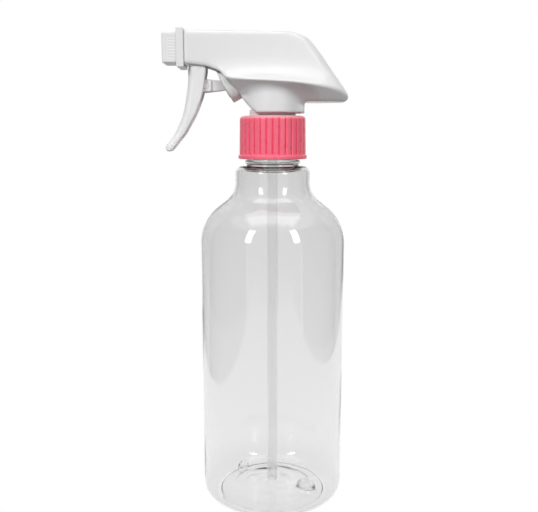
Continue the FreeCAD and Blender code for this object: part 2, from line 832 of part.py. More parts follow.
def make_trigger():
    """Trigger: a channel open at the back, two ears on the pivot pins, two lugs for the rod."""
    body = new_body("trigger")
    pivot_x = d["trigger_pivot_x"]
    pivot_z = d["trigger_pivot_z"]
    ear = d["ear_radius"]
    over = d["overcut"]
    add_slab(body, [
        (pivot_x - ear, d["ear_bottom"]),
        (pivot_x + ear, d["ear_bottom"]),
        (pivot_x + ear, pivot_z, ear),
        (pivot_x, pivot_z + ear, ear),
        (pivot_x - ear, pivot_z),
    ], d["ear_span"])
    add_slab(body, [
        (pivot_x - ear - over, d["ear_bottom"] - over),
        (pivot_x + ear + over, d["ear_bottom"] - over),
        (pivot_x + ear + over, pivot_z + ear + over),
        (pivot_x - ear - over, pivot_z + ear + over),
    ], d["ear_gap"], "PartDesign::Pocket")
    add_slab(body, trigger_front(0) + [
        corner("trigger_toe_front") + (d["trigger_toe_bend"],),
        corner("trigger_toe_back"),
        corner("trigger_back_toe"),
        corner("trigger_back_low") + (d["trigger_back_bend"],),
        corner("trigger_back_high"),
        corner("trigger_back_top"),
        corner("trigger_head_back"),
        corner("trigger_head_front"),
    ], d["trigger_width"])
    wall = d["trigger_wall"]
    toe_x, toe_z = corner("trigger_channel_toe")
    top_x, top_z = corner("trigger_channel_top")
    add_slab(body, trigger_front(wall) + [
        (toe_x + wall, toe_z),
        corner("trigger_channel_heel"),
        corner("trigger_channel_back"),
        (top_x, top_z),
        (d["trigger_head_front_x"] + wall, top_z),
    ], d["ear_gap"], "PartDesign::Pocket")
    lug = d["lug_radius"]
    lug_x = d["rod_pivot_x"]
    lug_z = d["rod_pivot_z"]
    clear = d["hinge_clearance"]
    add_slab(body, [
        (d["lug_root"], lug_z - lug),
        (lug_x, lug_z - lug, lug),
        (lug_x + lug, lug_z, lug),
        (lug_x, lug_z + lug),
        (d["lug_root"], lug_z + lug),
    ], d["lug_span"])
    slot_front = lug_x - d["rod_hub_radius"] - d["rod_clearance"]
    slot_back = lug_x + lug + over
    add_slab(body, [
        (slot_front, lug_z - lug - over),
        (slot_back, lug_z - lug - over),
        (slot_back, lug_z + lug + over),
        (slot_front, lug_z + lug + over),
    ], d["lug_gap"], "PartDesign::Pocket")
    add_slab(body, [(lug_x, lug_z, d["trunnion_radius"] + clear)],
             d["lug_span"] + over, "PartDesign::Pocket")
    add_slab(body, [(pivot_x, pivot_z, d["pivot_pin_radius"] + clear)],
             d["ear_span"] + over, "PartDesign::Pocket")
    return body


def side_outline(inset, mouth):
    """The shroud's side outline. inset moves it inward; mouth moves the open lower front
    edge outward, so that the inner form breaks through there."""
    shifts = {
        "lip": (inset, -mouth * 4),
        "arch_front": (0, -mouth * 4),
        "arch_back": (-mouth * 2, -mouth * 4),
        "brow": (-mouth * 2, -mouth * 3),
        "skirt_front": (-mouth * 3, -mouth),
        "skirt_back": (-inset, -mouth),
        "tail_root": (-inset, inset),
        "tail_floor": (-inset, inset, d["tail_bend"]),
        "tail_tip": (-inset, inset * 0.3),
        "back_low": (-inset, -inset * 0.6),
        "back_high": (-inset * 0.8, -inset * 0.8, d["roof_bend"]),
        "roof_back": (-inset * 0.2, -inset),
        "roof_front": (inset, -inset),
    }
    points = []
    for name, (shift_x, shift_z, *bend) in shifts.items():
        x, z = corner(f"shroud_{name}")
        points.append((x + shift_x, z + shift_z, *bend))
    return points


def place_standing(sketch, x=0):
    """Stands a loose sketch in the YZ plane at a place along X."""
    sketch.Placement = FreeCAD.Placement(
        FreeCAD.Vector(as_size(x).value, 0, 0), FreeCAD.Rotation(0.5, 0.5, 0.5, 0.5))
    bind(sketch, "Placement.Base.x", x)


def shroud_side(name, inset, mouth):
    body = new_body(name)
    add_slab(body, side_outline(inset, mouth), d["shroud_blank_width"])
    return body


def shroud_girth(name, inset):
    """A loft through the shroud's cross-sections."""
    sections = []
    for number in range(1, len(SHROUD_STATIONS) + 1):
        size = {measure: d[f"shroud_{measure}_{number}"] for measure in SHROUD_MEASURES}
        half = [
            (size["floor"] - inset, d["section_bottom"] + inset),
            (size["hip"] - inset, size["hip_height"]),
            (size["waist"] - inset, d["section_waist"]),
            (size["roof"] - inset, d["section_top"]),
        ]
        sketch = doc.addObject("Sketcher::SketchObject", f"{name}_{number}")
        draw(sketch, half + [(-width, height) for width, height in reversed(half)])
        place_standing(sketch, size["place"])
        sections.append(sketch)
    loft = doc.addObject("Part::Loft", name)
    loft.Sections = sections
    loft.Solid = True
    loft.Ruled = False
    return loft


def make_shroud():
    """Shroud: a thin hood over the pump, open below at the front, with a skirt at the neck."""
    none = as_size(0)
    wall = d["shroud_wall"]
    over = d["overcut"]
    skirt_bottom = d["shroud_skirt_front_z"]
    skirt = cylinder("shroud_skirt", d["skirt_radius"], d["skirt_length"])
    place(skirt, 0, 0, skirt_bottom)
    outside = common("shroud_outside", [
        shroud_side("shroud_side", none, none),
        fused("shroud_form", [shroud_girth("shroud_girth", none), skirt]),
    ])
    skirt_bore = cylinder("shroud_skirt_bore", d["skirt_radius"] - wall, d["skirt_length"] + over * 2)
    place(skirt_bore, 0, 0, skirt_bottom - over)
    inside = common("shroud_inside", [
        shroud_side("shroud_side_inner", wall, d["shroud_mouth"]),
        fused("shroud_form_inner", [shroud_girth("shroud_girth_inner", wall), skirt_bore]),
    ])
    port = cylinder("shroud_port", d["barrel_port_radius"], d["barrel_port_length"])
    place(port, d["shroud_lip_x"] + d["barrel_port_length"] / 2, 0, d["barrel_height"], (0, 1, 0), -90)
    return cut("shroud", outside, fused("shroud_void", [inside, port]))


def rounded_square(width, corner, centre_z):
    """A square in the YZ plane with rounded corners."""
    half = width / 2
    flat = half - corner
    top = centre_z + half
    bottom = centre_z - half
    return [
        (-flat, bottom),
        (flat, bottom, corner),
        (half, centre_z - flat),
        (half, centre_z + flat, corner),
        (flat, top),
        (-flat, top, corner),
        (-half, centre_z + flat),
        (-half, centre_z - flat, corner),
    ]


def square_block(name, width, corner, x0, x1):
    sketch = doc.addObject("Sketcher::SketchObject", f"{name}_sketch")
    draw(sketch, rounded_square(width, corner, d["barrel_height"]))
    place_standing(sketch, x0)
    block = doc.addObject("Part::Extrusion", name)
    block.Base = sketch
    block.DirMode = "Custom"
    block.Dir = FreeCAD.Vector(1, 0, 0)
    block.Solid = True
    bind(block, "LengthFwd", x1 - x0)
    return block


def make_nozzle_knob():
    """Nozzle knob: a square grip and a square flange that turn on the barrel's end."""
    flange = square_block("knob_flange", d["knob_flange_width"], d["knob_flange_corner"],
                          d["knob_flange_front"], d["knob_back"])
    grip = square_block("knob_grip", d["knob_width"], d["knob_corner"],
                        d["knob_front"], d["knob_flange_front"])
    back = -d["knob_back"]
    socket_end = back + d["knob_socket_depth"]
    seat_end = socket_end + d["orifice_seat_depth"]
    bore = turned_piece("knob_bore", [
        (0, back - d["overcut"]),
        (d["knob_socket_radius"], back - d["overcut"]),
        (d["knob_socket_radius"], socket_end),
        (d["orifice_seat_radius"], socket_end),
        (d["orifice_seat_radius"], seat_end),
        (d["orifice_window_radius"], seat_end),
        (d["orifice_window_radius"], -d["knob_front"] + d["overcut"]),
        (0, -d["knob_front"] + d["overcut"]),
    ])
    place_on_barrel_axis(bore)
    return cut("nozzle_knob", fused("knob_solid", [flange, grip]), bore)


def make_orifice_insert():
    """Orifice insert: the small hard disc that the spray leaves through."""
    back = -d["knob_back"] + d["knob_socket_depth"]
    front = back + d["orifice_seat_depth"]
    body = turned_piece("orifice_insert", [
        (d["orifice_radius"], back),
        (d["orifice_seat_radius"] - d["fit_clearance"], back),
        (d["orifice_seat_radius"] - d["fit_clearance"], front),
        (d["orifice_radius"] * 3, front),
        (d["orifice_radius"], front - d["orifice_radius"] * 2),
    ])
    place_on_barrel_axis(body)
    return body


def make_swirl_insert():
    """Swirl insert: closes the barrel's bore, with two slots that set the liquid spinning."""
    front = d["barrel_reach"] + d["swirl_protrusion"]
    back = front - d["swirl_length"]
    radius = d["valve_bore_radius"] - d["fit_clearance"]
    plug = turned_piece("swirl_plug", [(0, back), (radius, back), (radius, front), (0, front)])
    place_on_barrel_axis(plug)
    slots = []
    for number, side in enumerate((1, -1), start=1):
        slot = doc.addObject("Part::Box", f"swirl_slot_{number}")
        bind(slot, "Length", d["swirl_length"] + d["overcut"] * 2)
        bind(slot, "Width", d["swirl_slot_width"])
        bind(slot, "Height", d["swirl_slot_depth"])
        middle = d["barrel_height"] + (radius - d["swirl_slot_depth"] / 2) * side
        place(slot, -front - d["overcut"], -d["swirl_slot_width"] / 2, middle - d["swirl_slot_depth"] / 2)
        slots.append(slot)
    return cut("swirl_insert", plug, fused("swirl_slots", slots))


def make_outlet_valve():
    """Outlet valve: a head that shuts the barrel's narrow bore, on a stem in its spring."""
    back = d["valve_seat_reach"] + d["fit_clearance"]
    head_front = back + d["valve_head_thickness"]
    body = turned_piece("outlet_valve", [
        (0, back),
        (d["valve_head_radius"], back),
        (d["valve_head_radius"], head_front),
        (d["valve_stem_radius"], head_front),
        (d["valve_stem_radius"], head_front + d["valve_stem_length"]),
        (0, head_front + d["valve_stem_length"]),
    ])
    place_on_barrel_axis(body)
    return body


def make_nozzle_seal():
    """Nozzle seal: a ring in the barrel's groove."""
    ring = doc.addObject("Part::Torus", "nozzle_seal")
    bind(ring, "Radius1", d["seal_ring_radius"])
    bind(ring, "Radius2", d["seal_wire_radius"])
    reach = d["seal_groove_reach"] + d["seal_groove_width"] / 2
    place(ring, -reach, 0, d["barrel_height"], (0, 1, 0), -90)
    return ring


d = fill_sheet()
collar_start = (d["shoulder_start"]
                + (d["shoulder_radius"] + d["collar_blend_radius"]) * sine(d["shoulder_turn"])
                + (d["bottle_radius"] - d["collar_radius"]
                   - (d["shoulder_radius"] + d["collar_blend_radius"])
                   * (as_size(1) - cosine(d["shoulder_turn"])))
                * cosine(d["shoulder_turn"]) / sine(d["shoulder_turn"]))
step_top = collar_start + d["collar_height"] + d["collar_edge_radius"]
rim = step_top + d["finish_length"]

finished = [
    make_bottle(),
    make_closure_cap(),
    make_closure_gasket(),
    make_pump_body(),
    make_tube_retainer(),
    make_dip_tube(),
    make_intake_ball(),
    make_piston(),
    make_return_spring(),
    make_piston_rod(),
    make_trigger(),
    make_shroud(),
    make_nozzle_knob(),
    make_orifice_insert(),
    make_swirl_insert(),
    make_outlet_valve(),
    make_outlet_spring(),
    make_nozzle_seal(),
]
doc.recompute()

for item in doc.Objects:
    if "Invalid" in item.State or "Error" in item.State:
        raise RuntimeError(f"{item.Name} is {item.State}")
    if item.TypeId == "PartDesign::Pocket" and item.Shape.Volume >= item.BaseFeature.Shape.Volume:
        raise RuntimeError(f"{item.Name} cuts nothing away")
os.makedirs("parts", exist_ok=True)
for piece in finished:
    shape = piece.Shape
    if shape.isNull() or not shape.isValid() or shape.Volume <= 0:
        raise RuntimeError(f"{piece.Label} has no valid shape")
    limits = shape.optimalBoundingBox(False, False)
    print(f"{piece.Label}: {len(shape.Solids)} solid(s), {shape.Volume:.1f} mm3, "
          f"x {limits.XMin:.2f}..{limits.XMax:.2f} y {limits.YMin:.2f}..{limits.YMax:.2f} "
          f"z {limits.ZMin:.2f}..{limits.ZMax:.2f}")
    shape.exportStep(f"parts/{piece.Label}.step")
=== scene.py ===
import math

import bpy
import numpy as np
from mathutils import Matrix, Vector


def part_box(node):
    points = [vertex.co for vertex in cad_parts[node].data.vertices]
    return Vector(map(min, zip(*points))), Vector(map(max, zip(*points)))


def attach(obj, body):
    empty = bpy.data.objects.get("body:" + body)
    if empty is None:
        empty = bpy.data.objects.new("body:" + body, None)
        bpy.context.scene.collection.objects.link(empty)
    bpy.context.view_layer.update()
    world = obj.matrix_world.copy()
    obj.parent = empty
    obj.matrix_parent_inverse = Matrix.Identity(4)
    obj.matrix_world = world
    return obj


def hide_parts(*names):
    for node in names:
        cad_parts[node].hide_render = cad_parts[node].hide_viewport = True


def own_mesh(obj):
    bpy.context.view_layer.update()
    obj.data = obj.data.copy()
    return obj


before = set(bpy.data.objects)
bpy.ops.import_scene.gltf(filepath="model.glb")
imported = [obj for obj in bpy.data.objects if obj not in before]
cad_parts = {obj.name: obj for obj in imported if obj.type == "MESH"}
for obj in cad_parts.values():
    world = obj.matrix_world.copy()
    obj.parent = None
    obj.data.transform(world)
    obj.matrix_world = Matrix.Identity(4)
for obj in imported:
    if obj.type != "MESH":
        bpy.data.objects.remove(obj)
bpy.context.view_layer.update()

# Lengths below are millimetres in the model's own frame: +Z up, origin on the bottle's axis
# in the plane that it stands on, nozzle towards -X. Meshes are scaled to metres at the end.
MM = 0.001

# ---------------------------------------------------------------- driving sizes

BOTTLE_RADIUS = 35.0
BOTTLE_WALL = 0.6
NECK_WALL = 1.7
WALL_TAPER = 22.0
PUSH_UP = 3.4
RING_INNER = 25.7
HEEL = 7.0
SHOULDER_START = 129.0
SHOULDER_RADIUS = 22.7
SHOULDER_TURN = math.radians(52.5)
COLLAR_RADIUS = 18.0
COLLAR_BLEND = 11.1
COLLAR_HEIGHT = 4.3
COLLAR_EDGE = 3.7
FINISH_RADIUS = 12.5
BORE_RADIUS = 10.9
BEAD_RADIUS = 13.3
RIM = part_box("bottle")[1].z / MM
STEP_TOP = RIM - 18.8
COLLAR_START = STEP_TOP - COLLAR_EDGE - COLLAR_HEIGHT

THREAD_PITCH = 4.2
THREAD_TURNS = 1.5
THREAD_START = 176.9

# The push-up's two moulded marks: centre, turn in radians, and half sizes.
BASE_MARKS = (((17.2, -6.0), 0.35, (5.2, 5.2)), ((-16.0, 18.5), 0.6, (3.4, 2.2)))
MARK_HEIGHT = 2.2
# How much higher the marks stand on the inside, and the swirl's strength outside and inside.
INNER_MARK = 2.1
SWIRL = (0.25, 1.25)
# A faint raised ring on the inside of the push-up: radius, half width and height.
BASE_RING = (20.5, 0.9, 0.18)

CAP_BOTTOM = 170.0
CAP_TOP = 190.2
CAP_RIBS = 32
CAP_FLANGE = 16.5
CAP_BORE = 13.9
CAP_MOUTH = 11.05
CAP_DECK = 1.65
CAP_GROOVE = 15.2
CAP_RIB = 15.95

BARREL_HEIGHT = 221.0
PIVOT = (-36.0, 218.0)
ROD_PIVOT = (-31.4, 204.0)
PUMP_MOUTH = (-22.6, 203.7)
PUMP_TILT = math.radians(29.0)
PUMP_AXIS = (math.cos(PUMP_TILT), math.sin(PUMP_TILT))


# ---------------------------------------------------------------- mesh helpers

def mesh_object(name, points, faces, body, replaced):
    """Makes a smooth-shaded mesh from millimetre points and ties it to its body and node."""
    mesh = bpy.data.meshes.new(name)
    mesh.from_pydata((np.asarray(points) * MM).tolist(), [], faces)
    mesh.validate()
    mesh.polygons.foreach_set("use_smooth", [True] * len(mesh.polygons))
    mesh.update()
    piece = bpy.data.objects.new(name, mesh)
    bpy.context.scene.collection.objects.link(piece)
    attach(piece, body)
    if replaced:
        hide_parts(replaced)
    return piece


def arc(centre_r, centre_z, radius, start, end, count):
    """Points on an arc, with angles in radians counted from +r towards +z."""
    angles = np.linspace(start, end, count)
    return np.stack([centre_r + radius * np.cos(angles), centre_z + radius * np.sin(angles)], 1)


def line(start, end, count):
    """Points on a straight run, both ends included."""
    return np.linspace(np.array(start, float), np.array(end, float), count)


def rounded(corners, step=1.0, arc_points=6, closed=True):
    """A path through corners (r, z, fillet radius), with runs no longer than a step."""
    count = len(corners)
    pieces = []
    for index, (r, z, fillet) in enumerate(corners):
        here = np.array([r, z], float)
        at_end = not closed and index in (0, count - 1)
        if fillet <= 0 or at_end:
            pieces.append(here[None, :])
            continue
        before = np.array(corners[index - 1][:2], float) - here
        after = np.array(corners[(index + 1) % count][:2], float) - here
        before /= np.linalg.norm(before)
        after /= np.linalg.norm(after)
        half = math.acos(np.clip(before @ after, -1, 1)) / 2
        reach = fillet / math.tan(half)
        centre = here + (before + after) / np.linalg.norm(before + after) * fillet / math.sin(half)
        first = here + before * reach - centre
        last = here + after * reach - centre
        start = math.atan2(first[1], first[0])
        sweep = math.atan2(last[1], last[0]) - start
        sweep = (sweep + math.pi) % (2 * math.pi) - math.pi
        angles = start + np.linspace(0, 1, arc_points) * sweep
        pieces.append(centre + fillet * np.stack([np.cos(angles), np.sin(angles)], 1))
    path = np.concatenate(pieces)
    ends = np.roll(path, -1, 0) if closed else path[1:]
    result = []
    for start, end in zip(path, ends):
        runs = max(1, math.ceil(np.linalg.norm(end - start) / step))
        result.append(start + (end - start) * (np.arange(runs) / runs)[:, None])
    if not closed:
        result.append(path[-1:])
    return np.concatenate(result)


def turned(name, radius, height, turns, body, replaced, frame_axes=None, closed=True):
    """A mesh of revolution. radius and height hold a row for each profile point and a column
    for each step round; a closed profile makes a ring, an open one ends on the axis."""
    rows = radius.shape[0]
    angles = np.arange(turns) * 2 * math.pi / turns
    radius = np.broadcast_to(radius, (rows, turns))
    height = np.broadcast_to(height, (rows, turns))
    points = np.stack([radius * np.cos(angles), radius * np.sin(angles), height], 2)
    first, last = (0, rows) if closed else (1, rows - 1)
    ring_rows = points[first:last].reshape(-1, 3)
    count = last - first
    faces = []
    for row in range(count if closed else count - 1):
        low = row * turns
        high = ((row + 1) % count) * turns
        for step in range(turns):
            after = (step + 1) % turns
            faces.append((low + step, low + after, high + after, high + step))
    if not closed:
        south = len(ring_rows)
        ring_rows = np.concatenate([ring_rows, points[:1, 0], points[-1:, 0]])
        top = (count - 1) * turns
        for step in range(turns):
            after = (step + 1) % turns
            faces.append((south, after, step))
            faces.append((south + 1, top + step, top + after))
    if frame_axes is not None:
        origin, side, up, along = (np.array(v, float) for v in frame_axes)
        ring_rows = origin + ring_rows @ np.stack([side, up, along])
    return mesh_object(name, ring_rows, faces, body, replaced)


def pump_frame():
    """Origin and axes of the tilted pump: its own third axis runs up the bore."""
    along = (PUMP_AXIS[0], 0, PUMP_AXIS[1])
    return (PUMP_MOUTH[0], 0, PUMP_MOUTH[1]), (-PUMP_AXIS[1], 0, PUMP_AXIS[0]), (0, -1, 0), along


def barrel_frame():
    """Origin and axes of the discharge barrel: its own third axis runs forward, along -X."""
    return (0, 0, BARREL_HEIGHT), (0, 0, 1), (0, 1, 0), (-1, 0, 0)


# ---------------------------------------------------------------- signed distance modelling

def join(a, b, radius=0.0):
    """Union, with an inside corner of about the given radius."""
    if radius <= 0:
        return np.minimum(a, b)
    mix = np.clip(0.5 + 0.5 * (b - a) / radius, 0, 1)
    return b + (a - b) * mix - radius * mix * (1 - mix)


def overlap(a, b, radius=0.0):
    """Intersection, with an outside corner of about the given radius."""
    return -join(-a, -b, radius)


def remove(a, b, radius=0.0):
    """The first form with the second taken out."""
    return overlap(a, -b, radius)


def outline_distance(u, v, corners):
    """Signed distance in a plane to a closed outline, negative inside."""
    distance = None
    inside = None
    for (u0, v0), (u1, v1) in zip(corners, np.roll(corners, -1, 0)):
        du, dv = u1 - u0, v1 - v0
        pu, pv = u - u0, v - v0
        t = np.clip((pu * du + pv * dv) / (du * du + dv * dv), 0, 1)
        d2 = (pu - t * du) ** 2 + (pv - t * dv) ** 2
        distance = d2 if distance is None else np.minimum(distance, d2)
        crosses = ((v0 <= v) != (v1 <= v)) & ((dv > 0) == (pu * dv < pv * du))
        inside = ~crosses if inside is None else inside ^ crosses
    return np.where(inside, 1.0, -1.0) * np.sqrt(distance)


def rod_distance(u, v, w, radius, low, high, edge=0.3):
    """Signed distance to a round bar along w between two places."""
    return overlap(np.sqrt(u * u + v * v) - radius, np.maximum(low - w, w - high), edge)


def block_distance(u, v, w, half, corner):
    """Signed distance to a rounded block centred on the origin."""
    qu, qv, qw = (np.abs(a) - b + corner for a, b in zip((u, v, w), half))
    outside = np.sqrt(np.maximum(qu, 0) ** 2 + np.maximum(qv, 0) ** 2 + np.maximum(qw, 0) ** 2)
    return outside + np.minimum(np.maximum(np.maximum(qu, qv), qw), 0) - corner


def along_pump(x, z):
    """Place along the pump's axis and across it, in the XZ plane."""
    dx, dz = x - PUMP_MOUTH[0], z - PUMP_MOUTH[1]
    return dx * PUMP_AXIS[0] + dz * PUMP_AXIS[1], dz * PUMP_AXIS[0] - dx * PUMP_AXIS[1]


def gradient(field, points, reach=0.02):
    slopes = []
    for axis in range(3):
        offset = np.zeros(3)
        offset[axis] = reach
        ahead = field(*(points + offset).T)
        behind = field(*(points - offset).T)
        slopes.append((ahead - behind) / (2 * reach))
    return np.stack(slopes, 1)


def shape(name, field, low, high, step, body, replaced):
    """Meshes the zero surface of a distance field: one vertex in each cell that it crosses,
    where the tangent planes of the cell's crossings meet, so that edges stay crisp."""
    axes = [np.arange(a - 2 * step, b + 2.5 * step, step) for a, b in zip(low, high)]
    values = field(axes[0][:, None, None], axes[1][None, :, None], axes[2][None, None, :])
    values = np.broadcast_to(values, [len(a) for a in axes])
    solid = values < 0
    size = np.array(solid.shape) - 1
    filled = sum(solid[i:i + size[0], j:j + size[1], k:k + size[2]].astype(np.int8)
                 for i in (0, 1) for j in (0, 1) for k in (0, 1))
    cells = np.argwhere((filled > 0) & (filled < 8))
    index = np.full(size, -1)
    index[tuple(cells.T)] = np.arange(len(cells))
    origin = np.array([a[0] for a in axes])
    # For each cell: the sum of its crossings, how many, and the planes through them.
    total = np.zeros((len(cells), 3))
    crossings = np.zeros(len(cells))
    planes = np.zeros((len(cells), 3, 3))
    pull = np.zeros((len(cells), 3))
    faces = []
    for axis in range(3):
        lower = [slice(None)] * 3
        upper = [slice(None)] * 3
        lower[axis] = slice(0, -1)
        upper[axis] = slice(1, None)
        before, after = values[tuple(lower)], values[tuple(upper)]
        edges = np.argwhere((before < 0) != (after < 0))
        a, b = before[tuple(edges.T)], after[tuple(edges.T)]
        hits = edges.astype(float)
        hits[:, axis] += a / (a - b)
        hits = origin + hits * step
        normals = gradient(field, hits)
        normals /= np.linalg.norm(normals, axis=1)[:, None] + 1e-9
        one, two = [other for other in range(3) if other != axis]
        quad = []
        for shift_one, shift_two in ((1, 1), (0, 1), (0, 0), (1, 0)):
            cell = edges.copy()
            cell[:, one] -= shift_one
            cell[:, two] -= shift_two
            quad.append(index[tuple(cell.T)])
            np.add.at(total, quad[-1], hits)
            np.add.at(crossings, quad[-1], 1)
            np.add.at(planes, quad[-1], normals[:, :, None] * normals[:, None, :])
            np.add.at(pull, quad[-1], normals * np.sum(normals * hits, 1)[:, None])
        quad = np.stack(quad, 1)
        outward = a < 0
        flip = outward if axis == 1 else ~outward
        quad[flip] = quad[flip][:, ::-1]
        faces.append(quad)
    middle = total / crossings[:, None]
    hold = 0.03 * crossings[:, None, None] * np.eye(3)
    offset = np.linalg.solve(planes + hold, pull[..., None] - planes @ middle[..., None])[..., 0]
    corner = origin + cells * step
    points = np.clip(middle + offset, corner, corner + step)
    for _ in range(2):
        slope = gradient(field, points)
        length = np.maximum(np.sum(slope * slope, 1), 0.05)
        move = -(field(*points.T) / length)[:, None] * slope
        reach = np.maximum(np.linalg.norm(move, axis=1) / (0.3 * step), 1)
        points = points + move / reach[:, None]
    return mesh_object(name, points, np.concatenate(faces).tolist(), body, replaced)


def curve_through(x, places, values):
    """A smooth curve through a few values, flat beyond its ends."""
    places = np.asarray(places, float)
    values = np.asarray(values, float)
    slopes = np.gradient(values, places)
    x = np.clip(x, places[0], places[-1])
    index = np.clip(np.searchsorted(places, x, side="right") - 1, 0, len(places) - 2)
    span = places[index + 1] - places[index]
    t = (x - places[index]) / span
    a, b = values[index], values[index + 1]
    ma, mb = slopes[index] * span, slopes[index + 1] * span
    return ((2 * t ** 3 - 3 * t ** 2 + 1) * a + (t ** 3 - 2 * t ** 2 + t) * ma
            + (3 * t ** 2 - 2 * t ** 3) * b + (t ** 3 - t ** 2) * mb)


# ---------------------------------------------------------------- bottle

def thread_ridge(height, angles, depth, middle, outward, turns):
    """How far a helical ridge stands off a wall, fading out at both ends of the thread."""
    run_out = 0.35
    half_width = 1.0
    flank = 0.55
    lift = THREAD_PITCH / (2 * math.pi)
    end = turns * 2 * math.pi
    ridge = np.zeros(np.broadcast(height, angles).shape)
    for turn in range(int(turns) + 2):
        wound = angles + 2 * math.pi * turn
        fade = np.clip(wound / run_out, 0, 1) * np.clip((end - wound) / run_out, 0, 1)
        away = np.abs(height - middle - lift * wound)
        ridge = np.maximum(ridge, depth * fade * np.clip((half_width - away) / flank, 0, 1))
    return outward * ridge


def base_mark(x, y, centre, turn, size):
    """A lens-shaped mark pressed up into the base, as a height over the push-up."""
    dx, dy = x - centre[0], y - centre[1]
    along = (dx * math.cos(turn) + dy * math.sin(turn)) / size[0]
    across = (dy * math.cos(turn) - dx * math.sin(turn)) / size[1]
    inside = np.clip(1 - along ** 2 - across ** 2, 0, 1)
    return MARK_HEIGHT * inside ** 0.5 * np.clip(inside * 4, 0, 1)


def outer_wall():
    """The bottle's outside from the base's centre to the collar's top."""
    # The dome ends a little above the foot ring, in a short upright step.
    step = 0.8
    rise = PUSH_UP - step
    dome = (RING_INNER ** 2 + rise ** 2) / (2 * rise)
    dome_angle = math.asin(RING_INNER / dome)
    shoulder_centre = BOTTLE_RADIUS - SHOULDER_RADIUS
    blend_centre = COLLAR_RADIUS + COLLAR_BLEND
    ring = BOTTLE_RADIUS - HEEL
    quarter = math.pi / 2
    collar_top = COLLAR_START + COLLAR_HEIGHT
    return np.concatenate([
        arc(0, PUSH_UP - dome, dome, quarter, quarter - dome_angle, 80),
        line((RING_INNER + 0.15, step - 0.25), (RING_INNER + 0.35, 0.15), 4),
        line((RING_INNER + 0.6, 0), (ring - 0.2, 0), 5),
        arc(ring, HEEL, HEEL, -quarter, 0, 24),
        line((BOTTLE_RADIUS, HEEL + 2), (BOTTLE_RADIUS, SHOULDER_START - 2), 50),
        arc(shoulder_centre, SHOULDER_START, SHOULDER_RADIUS, 0, SHOULDER_TURN, 30),
        arc(blend_centre, COLLAR_START, COLLAR_BLEND, math.pi + SHOULDER_TURN, math.pi, 20),
        line((COLLAR_RADIUS, COLLAR_START + 1), (COLLAR_RADIUS, collar_top - 1), 4),
        arc(COLLAR_RADIUS - COLLAR_EDGE, collar_top, COLLAR_EDGE, 0, quarter, 14),
    ])


def inner_wall(outer):
    """The inside skin: the outside moved in by the wall, which thickens towards the collar."""
    along = np.gradient(outer, axis=0)
    along /= np.linalg.norm(along, axis=1)[:, None]
    inward = np.stack([-along[:, 1], along[:, 0]], 1)
    blown = np.clip((COLLAR_START + 1 - outer[:, 1]) / WALL_TAPER, 0, 1)
    blown = blown * blown * (3 - 2 * blown)
    wall = NECK_WALL + (BOTTLE_WALL - NECK_WALL) * blown
    skin = outer + inward * wall[:, None]
    skin[:, 0] = np.maximum(skin[:, 0], 0)
    skin[0, 0] = 0
    return skin[::-1]


def make_bottle():
    """The blown bottle, outside and inside skins in one closed mesh."""
    turns = 288
    neck_foot = COLLAR_RADIUS - COLLAR_EDGE - 0.4
    bead = STEP_TOP + 0.9
    bead_top = bead + 1.6
    neck = rounded([
        (neck_foot, STEP_TOP, 0),
        (FINISH_RADIUS, STEP_TOP, 0.5),
        (FINISH_RADIUS, bead, 0.2),
        (BEAD_RADIUS, bead, 0.5),
        (BEAD_RADIUS, bead_top, 0.5),
        (FINISH_RADIUS, bead_top, 0.2),
        (FINISH_RADIUS, RIM, 0.4),
        (BORE_RADIUS, RIM, 0.4),
        (BORE_RADIUS, STEP_TOP - NECK_WALL, 0.8),
        (neck_foot, STEP_TOP - NECK_WALL, 0),
    ], step=0.25, arc_points=5, closed=False)
    outer = outer_wall()
    inner = inner_wall(outer)
    profile = np.concatenate([outer, neck, inner])
    angles = np.arange(turns) * 2 * math.pi / turns
    radius = np.repeat(profile[:, :1], turns, 1)
    height = np.repeat(profile[:, 1:], turns, 1)
    outside = np.arange(len(profile))[:, None] < len(outer) + len(neck) // 2
    threaded = outside & (height > STEP_TOP + 3) & (height < RIM - 0.5)
    ridge = thread_ridge(height, angles[None, :], 1.1, THREAD_START, 1, THREAD_TURNS)
    radius = radius + np.where(threaded, ridge, 0)
    base_top = PUSH_UP + BOTTLE_WALL
    # The base's marks.
    x, y = radius * np.cos(angles), radius * np.sin(angles)
    marks = sum(base_mark(x, y, *mark) for mark in BASE_MARKS)
    marks = marks * np.where(outside, 1.0, INNER_MARK)
    height = height + np.where(height < base_top + 0.1, marks, 0)
    # The push-up's soft swirl and ring.
    away = np.clip(radius / RING_INNER, 0, 1)
    swirl = 0.10 * np.sin(2 * angles + radius * 0.55) + 0.06 * np.sin(5 * angles - radius * 0.8)
    ring_radius, ring_width, ring_height = BASE_RING
    ring = ring_height * np.exp(-((radius - ring_radius) / ring_width) ** 2)
    swirl = swirl * np.sin(away * math.pi) * np.where(outside, *SWIRL) + np.where(outside, 0, ring)
    in_base = (height < base_top + 2.5) & (radius < RING_INNER)
    height = height + np.where(in_base, swirl, 0)
    # Blown walls are never quite even: slow waves, a few hundredths of a millimetre.
    body_wall = (profile[:, :1] > COLLAR_RADIUS + 0.5) & (profile[:, 1:] > HEEL)
    wave = 0.03 * np.sin(3 * angles + 0.05 * height) + 0.02 * np.sin(7 * angles - 0.09 * height)
    wave += 0.02 * np.sin(0.11 * height + 2 * angles)
    radius = radius - np.where(body_wall & ~outside, 0.06 + wave, 0)
    return turned("bottle_shell", radius, height, turns, "bottle", "bottle",
                  closed=False)


# ---------------------------------------------------------------- closure

